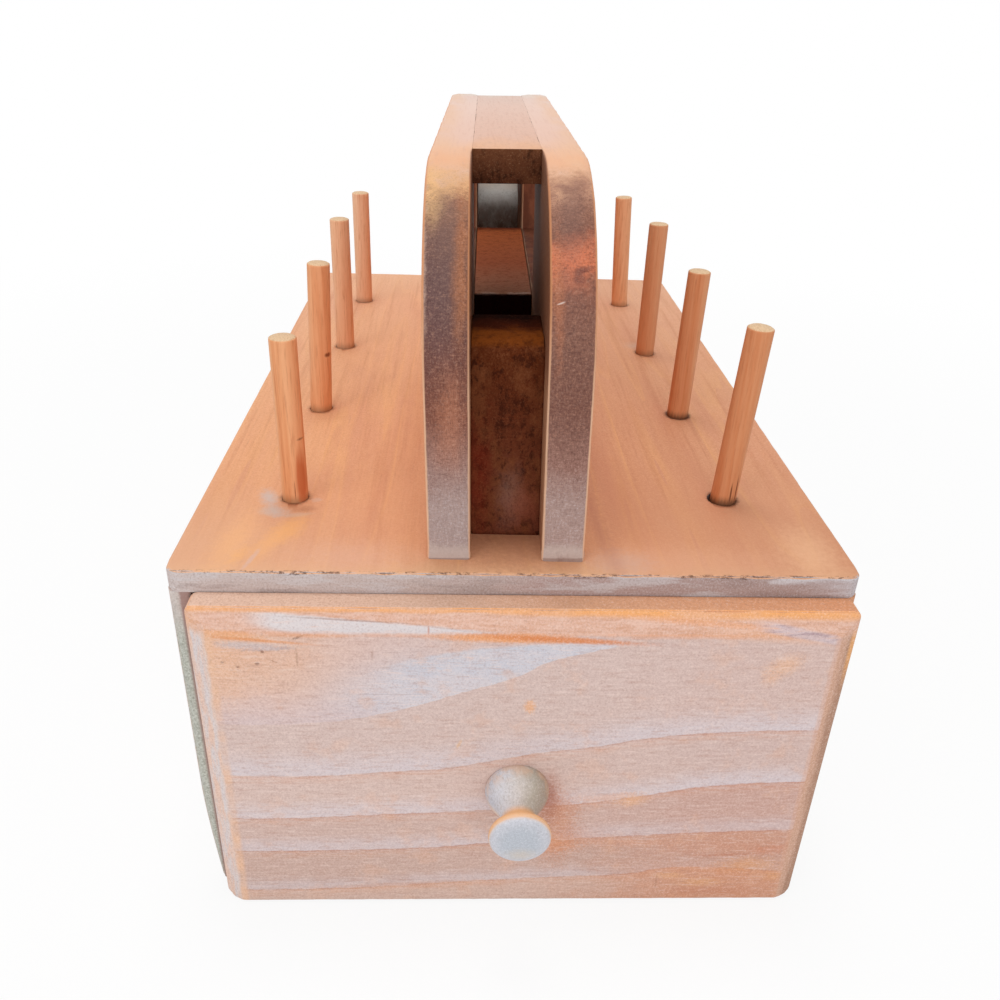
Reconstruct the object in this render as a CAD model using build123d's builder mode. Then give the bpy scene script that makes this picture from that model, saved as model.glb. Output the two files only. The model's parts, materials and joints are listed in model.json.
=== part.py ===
from build123d import *
import os

os.makedirs("parts", exist_ok=True)

# Millimetres. The origin is the centre of the case's footprint on the table, +Z is up
# and the drawer opens towards -Y, so +X is to the right of someone facing the drawer.

# Case
case_width = 190.0
case_depth = 304.8
case_height = 119.6
top_thickness = 6.75
panel_thickness = 6.5
top_corner_radius = 4.0
top_arris_radius = 0.8
panel_arris = 0.5

# Drawer front: a thicker board, hung a little off centre, bevelled on three edges
front_reveal = 8.0
front_thickness = 9.0
front_offset_x = 2.5
front_bottom_z = 0.8
front_top_lap = 0.3
front_case_gap = 0.4
bevel_width = 6.0
bevel_depth = 2.5

# Drawer box
runner_clearance = 0.3
side_clearance = 0.8
drawer_back_gap = 13.7
drawer_board = 6.5
drawer_headroom = 6.5
drawer_bottom_thickness = 3.2
drawer_bottom_lift = 3.5
groove_depth = 3.0
groove_clearance = 0.1

# Knob and its screw
knob_offset_x = -0.6
knob_z = 50.3
knob_flange_radius = 9.5
knob_flange_thickness = 2.6
knob_neck_radius = 4.8
knob_neck_y = 12.6
knob_disc_radius = 8.9
knob_length = 20.7
knob_disc_thickness = 3.2
knob_rim_round = 1.5
knob_base_slope = 2.0
knob_disc_slope = 0.35
knob_crown_height = 0.8
knob_hole_depth = 14.0
knob_screw_radius = 2.0
knob_screw_bite = 13.0
knob_screw_head_radius = 4.0
knob_screw_head_height = 2.2
drive_slot_width = 0.9
drive_slot_depth = 1.0

# Handle: two plates with four blocks between them, set by hand a little out of square
handle_x = -0.7
handle_lean = -1.15
handle_turn = -1.0
handle_pitch = -0.35
handle_end_inset = 6.9
handle_height = 99.0
handle_corner_radius = 50.0
plate_thickness = 11.9
handle_gap = 19.6
end_block_inset = 14.1
end_block_length = 25.4
end_block_height = 57.0
centre_block_length = 107.0
centre_block_height = 48.2
grip_block_length = 176.0
grip_thickness = 9.4
hold_corner_radius = 16.0
handle_foot = 1.5

# Handle screws, driven up through the top
screw_radius = 1.75
screw_head_radius = 3.5
screw_bite = 18.0
centre_screw_y = 35.0

# Spool pegs: two rows of four dowels, each set by hand
peg_radius = 4.0
peg_row_inset = 28.2
peg_end_inset = 43.2
peg_pitch = 70.0
peg_arris = 0.5
peg_tenon_radius = 3.5
peg_shoulder = 0.5
peg_foot = 1.0

# Brads
brad_length = 20.0
brad_radius = 0.7
brad_head_radius = 1.4
brad_head_height = 0.8
brad_count_along = 4
brad_pitch_along = 80.0
brad_count_up = 3
brad_pitch_up = 35.0

glue_gap = 0.05

wall_height = case_height - top_thickness
inner_width = case_width - 2 * panel_thickness
front_plane_y = -case_depth / 2
back_plane_y = case_depth / 2
back_centre_y = back_plane_y - panel_thickness / 2
peg_row_x = case_width / 2 - peg_row_inset
peg_first_y = front_plane_y + peg_end_inset
handle_length = case_depth - 2 * handle_end_inset
front_width = case_width - front_reveal
drawer_length = case_depth + front_case_gap - panel_thickness - drawer_back_gap

# How each peg was set: sideways and lengthways shift, sideways and lengthways lean in
# degrees, and its height above the top, from the front peg to the back one
peg_settings = {
    "left": [
        (0.2, -1.1, 0.0, 0.0, 51.3),
        (-1.7, -1.1, 2.3, 0.0, 54.5),
        (-0.9, -1.0, 0.0, 0.0, 55.0),
        (0.5, -1.0, 0.0, 0.0, 53.0),
    ],
    "right": [
        (-0.2, 1.4, 2.6, 0.9, 56.6),
        (-1.2, -1.7, 1.2, 0.0, 55.0),
        (-1.9, -2.1, 0.0, 0.0, 56.6),
        (-2.6, 2.1, -2.9, 0.0, 53.8),
    ],
}
row_side = {"left": -1, "right": 1}


def peg_plane(row, index):
    """The plane of one peg's foot at the top's upper face, square to the peg."""
    shift_x, shift_y, lean_x, lean_y, height = peg_settings[row][index]
    foot = (
        row_side[row] * peg_row_x + shift_x,
        peg_first_y + index * peg_pitch + shift_y,
        case_height,
    )
    return Plane(Location(foot, (lean_y, lean_x, 0)))


peg_planes = [peg_plane(row, index) for row in peg_settings for index in range(len(peg_settings[row]))]

# The handle's own frame stands on the top: X across the plates, Y along them, Z up
handle_frame = Plane(Location((handle_x, 0, case_height), (handle_pitch, handle_lean, handle_turn)))
plate_plane = Plane(origin=handle_frame.origin, x_dir=handle_frame.y_dir, z_dir=handle_frame.x_dir)
handle_base = Plane.XY.offset(case_height)
end_block_y = handle_length / 2 - end_block_inset - end_block_length / 2
hold_height = handle_height - grip_thickness - centre_block_height

# Feet of the handle screws under the top, two in the centre block and one in each end block
screw_feet = []
for along in (-end_block_y, -centre_screw_y, centre_screw_y, end_block_y):
    over = handle_frame.from_local_coords((0, along, 0))
    screw_feet.append(Plane(origin=(over.X, over.Y, wall_height), z_dir=(0, 0, -1)))

with BuildPart() as top_board:
    with BuildSketch(Plane.XY.offset(wall_height)):
        RectangleRounded(case_width, case_depth, top_corner_radius)
    extrude(amount=top_thickness)
    fillet(top_board.faces().sort_by(Axis.Z)[-1].outer_wire().edges(), top_arris_radius)
    for plane in peg_planes:
        with Locations(plane.location):
            Hole(peg_tenon_radius + glue_gap)
    with Locations(*[foot.location for foot in screw_feet]):
        CounterSinkHole(screw_radius + glue_gap, screw_head_radius + glue_gap)
top_board.part.label = "top_board"
export_step(top_board.part, "parts/top_board.step")


def brad_planes(side):
    """Planes on the outer face of a side panel, facing outwards, one for each brad."""
    face_x = side * case_width / 2
    along = [(index - (brad_count_along - 1) / 2) * brad_pitch_along for index in range(brad_count_along)]
    up = [wall_height / 2 + (index - (brad_count_up - 1) / 2) * brad_pitch_up for index in range(brad_count_up)]
    places = [(face_x, y, panel_thickness / 2) for y in along]
    places += [(face_x, back_centre_y, z) for z in up]
    return [Plane(origin=place, z_dir=(side, 0, 0)) for place in places]


def inner_brad_planes(side, depth):
    """The same planes, moved inwards by a depth."""
    return [plane.offset(-depth) for plane in brad_planes(side)]


for name, side in (("left_side_panel", -1), ("right_side_panel", 1)):
    with BuildPart() as side_panel:
        with BuildSketch(Plane.XY):
            with Locations((side * (case_width - panel_thickness) / 2, 0)):
                Rectangle(panel_thickness, case_depth)
        extrude(amount=wall_height)
        chamfer(side_panel.faces().sort_by(Axis.X)[-1 if side > 0 else 0].edges().filter_by(Axis.Z), panel_arris)
        with Locations(*[plane.location for plane in brad_planes(side)]):
            CounterBoreHole(brad_radius + glue_gap, brad_head_radius + glue_gap, brad_head_height, panel_thickness)
    side_panel.part.label = name
    export_step(side_panel.part, f"parts/{name}.step")

with BuildPart() as back_panel:
    with BuildSketch(Plane.XY):
        with Locations((0, back_centre_y)):
            Rectangle(inner_width, panel_thickness)
    extrude(amount=wall_height)
    for side in (-1, 1):
        with Locations(*[plane.location for plane in inner_brad_planes(side, panel_thickness)[brad_count_along:]]):
            Hole(brad_radius + glue_gap, brad_length - panel_thickness)
back_panel.part.label = "back_panel"
export_step(back_panel.part, "parts/back_panel.step")

with BuildPart() as bottom_board:
    with BuildSketch(Plane.XY):
        with Locations((0, -panel_thickness / 2)):
            Rectangle(inner_width, case_depth - panel_thickness)
    extrude(amount=panel_thickness)
    for side in (-1, 1):
        with Locations(*[plane.location for plane in inner_brad_planes(side, panel_thickness)[:brad_count_along]]):
            Hole(brad_radius + glue_gap, brad_length - panel_thickness)
bottom_board.part.label = "bottom_board"
export_step(bottom_board.part, "parts/bottom_board.step")


def add_brad():
    """One brad in the current locations, its head flush with the location's plane."""
    Cylinder(brad_head_radius, brad_head_height, align=(Align.CENTER, Align.CENTER, Align.MAX))
    Cylinder(brad_radius, brad_length, align=(Align.CENTER, Align.CENTER, Align.MAX))


with BuildPart() as case_brads:
    with Locations(*[plane.location for side in (-1, 1) for plane in brad_planes(side)]):
        add_brad()
case_brads.part.label = "case_brads"
export_step(case_brads.part, "parts/case_brads.step")

# Drawer front
front_back_y = front_plane_y - front_case_gap
front_face_y = front_back_y - front_thickness
front_height = wall_height + front_top_lap - front_bottom_z
knob_x = front_offset_x + knob_offset_x

with BuildPart() as drawer_front:
    with BuildSketch(Plane.XZ.offset(-front_back_y)):
        with Locations((front_offset_x, front_bottom_z + front_height / 2)):
            Rectangle(front_width, front_height)
    extrude(amount=front_thickness)
    face = drawer_front.faces().sort_by(Axis.Y)[0]
    bevelled = face.edges().sort_by(Axis.Z)[1:]
    chamfer(bevelled, length=bevel_width, length2=bevel_depth, reference=face)
    with Locations(Plane(origin=(knob_x, front_back_y, knob_z), z_dir=(0, 1, 0)).location):
        Hole(knob_screw_radius + glue_gap)
drawer_front.part.label = "drawer_front"
export_step(drawer_front.part, "parts/drawer_front.step")

# Drawer box
drawer_width = inner_width - 2 * side_clearance
drawer_bottom_z = panel_thickness + runner_clearance
drawer_height = wall_height - drawer_headroom - drawer_bottom_z
drawer_back_y = front_back_y + drawer_length
drawer_inner_width = drawer_width - 2 * drawer_board
groove_z = drawer_bottom_z + drawer_bottom_lift
drawer_brad_y = drawer_back_y - drawer_board / 2


def drawer_brad_planes(side):
    """Planes on the outer face of a drawer side, facing outwards, over the drawer's back."""
    middle = drawer_bottom_z + drawer_height / 2
    up = [middle + (index - (brad_count_up - 1) / 2) * brad_pitch_up for index in range(brad_count_up)]
    return [Plane(origin=(side * drawer_width / 2, drawer_brad_y, z), z_dir=(side, 0, 0)) for z in up]


for name, side in (("drawer_left_side", -1), ("drawer_right_side", 1)):
    with BuildPart() as drawer_side:
        with BuildSketch(Plane.XY.offset(drawer_bottom_z)):
            with Locations((side * (drawer_width - drawer_board) / 2, front_back_y + drawer_length / 2)):
                Rectangle(drawer_board, drawer_length)
        extrude(amount=drawer_height)
        fillet(drawer_side.faces().sort_by(Axis.Z)[-1].edges().filter_by(Axis.Y), top_arris_radius)
        with BuildSketch(Plane.XY.offset(groove_z - groove_clearance)):
            with Locations((side * drawer_inner_width / 2, front_back_y + (drawer_length - drawer_board) / 2)):
                Rectangle(2 * groove_depth, drawer_length - drawer_board + 2 * groove_depth)
        extrude(amount=drawer_bottom_thickness + 2 * groove_clearance, mode=Mode.SUBTRACT)
        with Locations(*[plane.location for plane in drawer_brad_planes(side)]):
            CounterBoreHole(brad_radius + glue_gap, brad_head_radius + glue_gap, brad_head_height, drawer_board)
    drawer_side.part.label = name
    export_step(drawer_side.part, f"parts/{name}.step")

with BuildPart() as drawer_back:
    with BuildSketch(Plane.XY.offset(drawer_bottom_z)):
        with Locations((0, drawer_back_y - drawer_board / 2)):
            Rectangle(drawer_inner_width, drawer_board)
    extrude(amount=drawer_height)
    fillet(drawer_back.faces().sort_by(Axis.Z)[-1].edges().filter_by(Axis.X), top_arris_radius)
    with BuildSketch(Plane.XY.offset(groove_z - groove_clearance)):
        with Locations((0, drawer_back_y - drawer_board)):
            Rectangle(drawer_inner_width, 2 * groove_depth)
    extrude(amount=drawer_bottom_thickness + 2 * groove_clearance, mode=Mode.SUBTRACT)
    for side in (-1, 1):
        with Locations(*[plane.offset(-drawer_board).location for plane in drawer_brad_planes(side)]):
            Hole(brad_radius + glue_gap, brad_length - drawer_board)
drawer_back.part.label = "drawer_back"
export_step(drawer_back.part, "parts/drawer_back.step")

with BuildPart() as drawer_bottom:
    floor_length = drawer_length - drawer_board + groove_depth - groove_clearance
    with BuildSketch(Plane.XY.offset(groove_z)):
        with Locations((0, front_back_y + floor_length / 2)):
            Rectangle(drawer_inner_width + 2 * (groove_depth - groove_clearance), floor_length)
    extrude(amount=drawer_bottom_thickness)
drawer_bottom.part.label = "drawer_bottom"
export_step(drawer_bottom.part, "parts/drawer_bottom.step")

with BuildPart() as drawer_brads:
    with Locations(*[plane.location for side in (-1, 1) for plane in drawer_brad_planes(side)]):
        add_brad()
drawer_brads.part.label = "drawer_brads"
export_step(drawer_brads.part, "parts/drawer_brads.step")

# Knob: a turned mushroom, drawn as half a section with X out from its axis and Y out of the drawer
knob_seat = (knob_x, front_face_y, knob_z)
disc_start = knob_length - knob_disc_thickness
knob_crown_radius = knob_disc_radius - knob_rim_round
crown_start = knob_length - knob_crown_height
rim_end = crown_start - knob_rim_round
crown_curve = (knob_crown_radius**2 + knob_crown_height**2) / (2 * knob_crown_height)
rim_middle = Vector(knob_crown_radius, rim_end) + Vector(knob_rim_round, 0).rotate(Axis.Z, 45)

with BuildPart() as drawer_knob:
    with BuildSketch(Plane(origin=knob_seat, x_dir=(1, 0, 0), z_dir=(0, 0, -1))):
        with BuildLine():
            Line((0, 0), (knob_flange_radius, 0))
            Line((knob_flange_radius, 0), (knob_flange_radius, knob_flange_thickness))
            Spline(
                (knob_flange_radius, knob_flange_thickness),
                (knob_neck_radius, knob_neck_y),
                (knob_disc_radius, disc_start),
                tangents=((-1, knob_base_slope), (1, knob_disc_slope)),
            )
            Line((knob_disc_radius, disc_start), (knob_disc_radius, rim_end))
            ThreePointArc(
                (knob_disc_radius, rim_end),
                rim_middle,
                (knob_crown_radius, crown_start),
            )
            RadiusArc((knob_crown_radius, crown_start), (0, knob_length), -crown_curve)
            Line((0, knob_length), (0, 0))
        make_face()
    revolve(axis=Axis(knob_seat, (0, -1, 0)))
    with Locations(Plane(origin=knob_seat, z_dir=(0, 1, 0)).location):
        Hole(knob_screw_radius + glue_gap, knob_hole_depth)
drawer_knob.part.label = "drawer_knob"
export_step(drawer_knob.part, "parts/drawer_knob.step")

with BuildPart() as knob_screw:
    with BuildSketch(Plane(origin=(knob_x, front_back_y, knob_z), z_dir=(0, 1, 0))):
        Circle(knob_screw_head_radius)
    extrude(amount=knob_screw_head_height)
    fillet(knob_screw.faces().sort_by(Axis.Y)[-1].edges(), knob_screw_head_height / 2)
    with BuildSketch(Plane(origin=(knob_x, front_back_y, knob_z), z_dir=(0, -1, 0))):
        Circle(knob_screw_radius)
    extrude(amount=front_thickness + knob_screw_bite)
    with BuildSketch(Plane(origin=(knob_x, front_back_y + knob_screw_head_height, knob_z), z_dir=(0, -1, 0))):
        Rectangle(2 * knob_screw_head_radius, drive_slot_width)
    extrude(amount=drive_slot_depth, mode=Mode.SUBTRACT)
knob_screw.part.label = "knob_screw"
export_step(knob_screw.part, "parts/knob_screw.step")

# Handle plates: round-cornered boards with a hand hold, their feet cut level on the top
for name, start in (
    ("handle_left_plate", -handle_gap / 2 - plate_thickness),
    ("handle_right_plate", handle_gap / 2),
):
    with BuildPart() as handle_plate:
        with BuildSketch(plate_plane.offset(start)) as outline:
            with BuildLine():
                half = handle_length / 2
                shoulder = handle_height - handle_corner_radius
                Polyline((-half, shoulder), (-half, -handle_foot), (half, -handle_foot), (half, shoulder))
                RadiusArc((half, shoulder), (half - handle_corner_radius, handle_height), -handle_corner_radius)
                Line((half - handle_corner_radius, handle_height), (-half + handle_corner_radius, handle_height))
                RadiusArc((-half + handle_corner_radius, handle_height), (-half, shoulder), -handle_corner_radius)
            make_face()
            with Locations((0, centre_block_height + hold_height / 2)):
                Rectangle(centre_block_length, hold_height, mode=Mode.SUBTRACT)
            hold_corners = outline.vertices().group_by(Axis.Y)[-2]
            fillet(hold_corners, hold_corner_radius)
        extrude(amount=plate_thickness)
        split(bisect_by=handle_base, keep=Keep.TOP)
    handle_plate.part.label = name
    export_step(handle_plate.part, f"parts/{name}.step")

# Handle blocks: how far along the handle, how long, and from what height to what height
handle_blocks = {
    "handle_front_block": (-end_block_y, end_block_length, -handle_foot, end_block_height),
    "handle_centre_block": (0, centre_block_length, -handle_foot, centre_block_height),
    "handle_back_block": (end_block_y, end_block_length, -handle_foot, end_block_height),
    "handle_grip_block": (0, grip_block_length, handle_height - grip_thickness, handle_height),
}
for name, (along, length, low, high) in handle_blocks.items():
    with BuildPart() as handle_block:
        with BuildSketch(handle_frame.offset(low)):
            with Locations((0, along)):
                Rectangle(handle_gap, length)
        extrude(amount=high - low)
        if low < 0:
            split(bisect_by=handle_base, keep=Keep.TOP)
            with Locations(*[foot.offset(-top_thickness).location for foot in screw_feet]):
                Hole(screw_radius + glue_gap, screw_bite)
    handle_block.part.label = name
    export_step(handle_block.part, f"parts/{name}.step")

with BuildPart() as handle_screws:
    for foot in screw_feet:
        with BuildSketch(foot):
            Circle(screw_head_radius)
        with BuildSketch(foot.offset(screw_radius - screw_head_radius)):
            Circle(screw_radius)
        loft()
        with BuildSketch(foot):
            Circle(screw_radius)
        extrude(amount=-(top_thickness + screw_bite))
        with BuildSketch(foot):
            Rectangle(2 * screw_head_radius, drive_slot_width)
        extrude(amount=-drive_slot_depth, mode=Mode.SUBTRACT)
handle_screws.part.label = "handle_screws"
export_step(handle_screws.part, "parts/handle_screws.step")

# Spool pegs: dowels with an eased top and a tenon that goes through the top board
for row in peg_settings:
    for index, (shift_x, shift_y, lean_x, lean_y, height) in enumerate(peg_settings[row]):
        name = f"spool_peg_{row}_{index + 1}"
        with BuildPart() as spool_peg:
            with BuildSketch(peg_plane(row, index).offset(-top_thickness - peg_foot)):
                Circle(peg_tenon_radius)
            extrude(amount=peg_shoulder + top_thickness + peg_foot)
            with BuildSketch(peg_plane(row, index).offset(peg_shoulder)):
                Circle(peg_radius)
            extrude(amount=height - peg_shoulder)
            chamfer(spool_peg.faces().sort_by(Axis.Z)[-1].edges(), peg_arris)
            split(bisect_by=Plane.XY.offset(wall_height), keep=Keep.TOP)
        spool_peg.part.label = name
        export_step(spool_peg.part, f"parts/{name}.step")
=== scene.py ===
import bpy
import bmesh
import json
import numpy as np
from math import radians, sin, cos, pi, sqrt
from mathutils import Matrix, Vector, noise


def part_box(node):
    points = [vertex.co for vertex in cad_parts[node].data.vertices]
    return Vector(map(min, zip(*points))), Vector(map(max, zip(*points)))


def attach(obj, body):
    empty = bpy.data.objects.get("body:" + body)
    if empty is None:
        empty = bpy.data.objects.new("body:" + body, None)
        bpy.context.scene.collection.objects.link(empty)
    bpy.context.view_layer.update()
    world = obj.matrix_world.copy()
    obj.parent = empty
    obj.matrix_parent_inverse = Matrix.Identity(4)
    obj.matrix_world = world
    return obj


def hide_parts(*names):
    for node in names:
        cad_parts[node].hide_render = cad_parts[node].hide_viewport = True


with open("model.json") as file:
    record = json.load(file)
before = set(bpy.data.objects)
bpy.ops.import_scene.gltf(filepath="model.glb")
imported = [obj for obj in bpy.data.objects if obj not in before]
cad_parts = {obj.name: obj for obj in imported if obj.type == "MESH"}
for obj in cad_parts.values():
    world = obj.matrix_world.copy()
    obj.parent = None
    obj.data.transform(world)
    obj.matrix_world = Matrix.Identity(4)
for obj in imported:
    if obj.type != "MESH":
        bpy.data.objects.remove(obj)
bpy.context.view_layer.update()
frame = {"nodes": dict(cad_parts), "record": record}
print("frame loaded:", len(frame["nodes"]), "nodes")

scene = bpy.context.scene
scene.view_settings.view_transform = "Standard"
mm = 0.001


# Camera, at the photograph's viewing angle

cameraView = {
    "place": (-0.01564, -0.36053, 0.25546),
    "pitchDown": 28.484,
    "yaw": -2.714,
    "roll": -2.084,
    "lens": 33.10,
}


def makeCamera(view):
    data = bpy.data.cameras.new("camera")
    data.sensor_width = 36
    data.lens = view["lens"]
    camera = bpy.data.objects.new("camera", data)
    scene.collection.objects.link(camera)
    turn = (
        Matrix.Rotation(radians(view["yaw"]), 4, "Z")
        @ Matrix.Rotation(radians(90 - view["pitchDown"]), 4, "X")
        @ Matrix.Rotation(radians(-view["roll"]), 4, "Z")
    )
    camera.matrix_world = Matrix.Translation(view["place"]) @ turn
    scene.camera = camera


# Node helpers


class Signal:
    # What a node gives. Arithmetic on it adds math nodes to the same tree.

    def __init__(self, socket):
        self.socket = socket
        self.tree = socket.id_data

    def __add__(self, other):
        return calc("ADD", self, other)

    def __radd__(self, other):
        return calc("ADD", other, self)

    def __sub__(self, other):
        return calc("SUBTRACT", self, other)

    def __rsub__(self, other):
        return calc("SUBTRACT", other, self)

    def __mul__(self, other):
        return calc("MULTIPLY", self, other)

    def __truediv__(self, other):
        return calc("DIVIDE", self, other)

    def __pow__(self, other):
        return calc("POWER", self, other)

    def __abs__(self):
        return calc("ABSOLUTE", self)


def addNode(tree, kind, inputs=None, **settings):
    # A new node; its inputs take plain values or what other nodes give.
    item = tree.nodes.new(kind)
    for key, value in settings.items():
        setattr(item, key, value)
    for key, value in (inputs or {}).items():
        if isinstance(value, Signal):
            tree.links.new(value.socket, item.inputs[key])
        else:
            item.inputs[key].default_value = value
    return item


def made(tree, kind, inputs=None, output=0, **settings):
    # What a new node gives.
    return Signal(addNode(tree, kind, inputs, **settings).outputs[output])


def treeOf(*values):
    return next(value.tree for value in values if isinstance(value, Signal))


def calc(operation, a, b=0.0, clamp=False):
    return made(treeOf(a, b), "ShaderNodeMath", {0: a, 1: b}, operation=operation, use_clamp=clamp)


def fade(value, start, end):
    # 0 at start and 1 at end, smooth between them; start may be the larger.
    low, high, first, last = (start, end, 0, 1) if start < end else (end, start, 1, 0)
    inputs = {"Value": value, "From Min": low, "From Max": high, "To Min": first, "To Max": last}
    return made(value.tree, "ShaderNodeMapRange", inputs, "Result", interpolation_type="SMOOTHSTEP")


def mixValue(amount, a, b):
    return made(amount.tree, "ShaderNodeMix", {0: amount, 2: a, 3: b}, data_type="FLOAT")


def paint(shade):
    # An sRGB colour of 0 to 255 as the linear colour that a socket takes.
    def linear(value):
        value /= 255
        return value / 12.92 if value <= 0.04045 else ((value + 0.055) / 1.055) ** 2.4
    return (*(linear(value) for value in shade), 1)


def blend(amount, a, b):
    # From one colour to another; each is an sRGB colour or what a node gives.
    a, b = (shade if isinstance(shade, Signal) else paint(shade) for shade in (a, b))
    return made(amount.tree, "ShaderNodeMix", {0: amount, 6: a, 7: b}, 2, data_type="RGBA")


def paints(value, low, high, stops):
    # Colours that follow a value from low to high; stops are (value, sRGB colour)
    share = calc("DIVIDE", value - low, high - low, clamp=True)
    item = addNode(value.tree, "ShaderNodeValToRGB", {0: share})
    ramp = item.color_ramp
    while len(ramp.elements) < len(stops):
        ramp.elements.new(0.5)
    for element, (spot, shade) in zip(ramp.elements, stops):
        element.position = (spot - low) / (high - low)
    for element, (spot, shade) in zip(ramp.elements, stops):
        element.color = paint(shade)
    return Signal(item.outputs[0])


def speckle(where, scale, detail, roughness, distortion=0.0):
    inputs = {"Vector": where, "Scale": scale, "Detail": detail, "Roughness": roughness}
    return made(where.tree, "ShaderNodeTexNoise", {**inputs, "Distortion": distortion}, "Fac")


def stretched(where, scale, offset=(0, 0, 0)):
    return made(where.tree, "ShaderNodeMapping", {"Vector": where, "Scale": scale, "Location": offset})


def partsOf(vector):
    return [Signal(socket) for socket in addNode(vector.tree, "ShaderNodeSeparateXYZ", {0: vector}).outputs]


def patch(across, up, centre, size, soft, turn, wobble):
    # An oval mask of 1 inside, with a soft rim, turned by some degrees
    dx, dz = across - centre[0], up - centre[1]
    c, s = cos(radians(turn)), sin(radians(turn))
    u = dx * (c / size[0]) + dz * (s / size[0])
    v = dx * (-s / size[1]) + dz * (c / size[1])
    return fade(calc("SQRT", u * u + v * v) + wobble, 1.0 + soft, 1.0 - soft)


def daub(colour, across, up, patches, wobble):
    # Soft irregular spots, each given as its place, half size, turn, strength and colour.
    for spot, size, turn, amount, shade in patches:
        mask = patch(across, up, spot, size, 0.6 if min(size) < 1.5 else 1.0, turn, wobble)
        colour = blend(mask * amount, colour, shade)
    return colour


def sand(surface, colour, amount, dark, light, size=0.6):
    # Fine rubbed speckle, darker and lighter than the coat; size is the coarsest grains' in millimetres
    grains = surface.speckle(1 / size, 4, 0.9)
    colour = blend(fade(grains, 0.5, 0.68) * amount, colour, dark)
    return blend(fade(grains, 0.5, 0.32) * amount, colour, light)


def clearTree(owner):
    owner.use_nodes = True
    owner.node_tree.nodes.clear()
    return owner.node_tree


class Surface:
    # A material's tree with the millimetre coordinates and the normal that its pattern reads.

    def __init__(self, name):
        self.material = bpy.data.materials.new(name)
        self.tree = clearTree(self.material)
        given = addNode(self.tree, "ShaderNodeTexCoord").outputs
        self.place = stretched(Signal(given["Object"]), (1000, 1000, 1000))
        self.spot = partsOf(self.place)
        self.facingX, self.facingY, self.facingZ = partsOf(Signal(given["Normal"]))

    def speckle(self, scale, detail, roughness, stretch=(1, 1, 1), offset=(0, 0, 0)):
        return speckle(stretched(self.place, stretch, offset), scale, detail, roughness)

    def within(self, frameMatrix):
        # The same point in a leaning piece's own millimetre frame
        inputs = {"Location": frameMatrix.translation / mm, "Rotation": frameMatrix.to_euler()}
        inputs["Vector"] = self.place
        return partsOf(made(self.tree, "ShaderNodeMapping", inputs, vector_type="TEXTURE"))

    def finish(self, colour, roughness, height, depth, gloss=0.2):
        bump = made(self.tree, "ShaderNodeBump", {"Height": height, "Strength": 0.6, "Distance": depth * mm})
        inputs = {"Base Color": colour, "Roughness": roughness, "Specular IOR Level": gloss, "Normal": bump}
        return self.close(inputs)

    def close(self, inputs):
        shader = made(self.tree, "ShaderNodeBsdfPrincipled", inputs)
        addNode(self.tree, "ShaderNodeOutputMaterial", {"Surface": shader})
        return self.material


grainAlong = {"x": (0.04, 1, 1), "y": (1, 0.04, 1), "z": (1, 1, 0.04)}


def woodGrain(surface, along, seed, rings):
    # Fine fibres, pores, growth bands and soft blotches of a board whose grain runs along one axis.
    run = stretched(surface.place, grainAlong[along], (seed * 17.3, seed * 9.1, seed * 5.7))
    bands = calc("FRACT", speckle(run, 0.045, 1.5, 0.4, 0.25) * (rings * 3))
    return {
        "fibre": speckle(run, 1.6, 5, 0.65),
        "pores": fade(speckle(stretched(run, (1, 1, 1), (40, 0, 7)), 3.4, 2, 0.6), 0.64, 0.74),
        "bands": bands,
        "lateWood": bands ** 3.0,
        "blotch": surface.speckle(0.05, 3, 0.5, (0.5, 0.5, 0.5), (seed * 3.1, 0, 2)),
    }


# Mesh helpers


def meshObject(name, vertices, faces, smooth=True):
    mesh = bpy.data.meshes.new(name)
    mesh.from_pydata([tuple(v) for v in vertices], [], faces)
    mesh.update()
    work = bmesh.new()
    work.from_mesh(mesh)
    bmesh.ops.remove_doubles(work, verts=work.verts, dist=1e-7)
    bmesh.ops.recalc_face_normals(work, faces=work.faces)
    work.to_mesh(mesh)
    work.free()
    if smooth:
        mesh.shade_smooth()
    piece = bpy.data.objects.new(name, mesh)
    scene.collection.objects.link(piece)
    return piece


def dress(piece, node, body, slotName, material):
    piece.data.materials.clear()
    piece.data.materials.append(material)
    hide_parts(node)
    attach(piece, body)


def ticks(low, high, step, close=(0, 0.12, 0.3, 0.55, 0.9, 1.5, 2.4)):
    # Places from low to high, a step apart, and closer together near both ends.
    ends = [c * mm for c in close]
    count = max(2, round((high - low - 2 * ends[-1]) / step))
    middle = list(np.linspace(low + ends[-1], high - ends[-1], count + 1))
    return np.array([low + c for c in ends[:-1]] + middle + [high - c for c in reversed(ends[:-1])])


def shellGrid(xs, ys, zs):
    # Vertices and quads of the skin of a box cut at these places, each point once.
    size = (len(xs), len(ys), len(zs))
    number = {}
    points = []

    def point(i, j, k):
        key = (i, j, k)
        if key not in number:
            number[key] = len(points)
            points.append((xs[i], ys[j], zs[k]))
        return number[key]

    faces = []
    for axis in range(3):
        across, up = (other for other in range(3) if other != axis)
        for end in (0, size[axis] - 1):
            for u in range(size[across] - 1):
                for v in range(size[up] - 1):
                    quad = []
                    for corner in ((u, v), (u + 1, v), (u + 1, v + 1), (u, v + 1)):
                        key = [end, end, end]
                        key[across], key[up] = corner
                        quad.append(point(*key))
                    faces.append(quad[::-1] if (end == 0) == (axis != 1) else quad)
    return np.array(points), faces


def roughAt(spot, size, seed):
    # Smooth noise of 0 to 1 with features about size metres long.
    return 0.5 + 0.5 * noise.noise(Vector(spot) / size + Vector((seed * 7.7, seed * 3.3, seed)))


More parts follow.
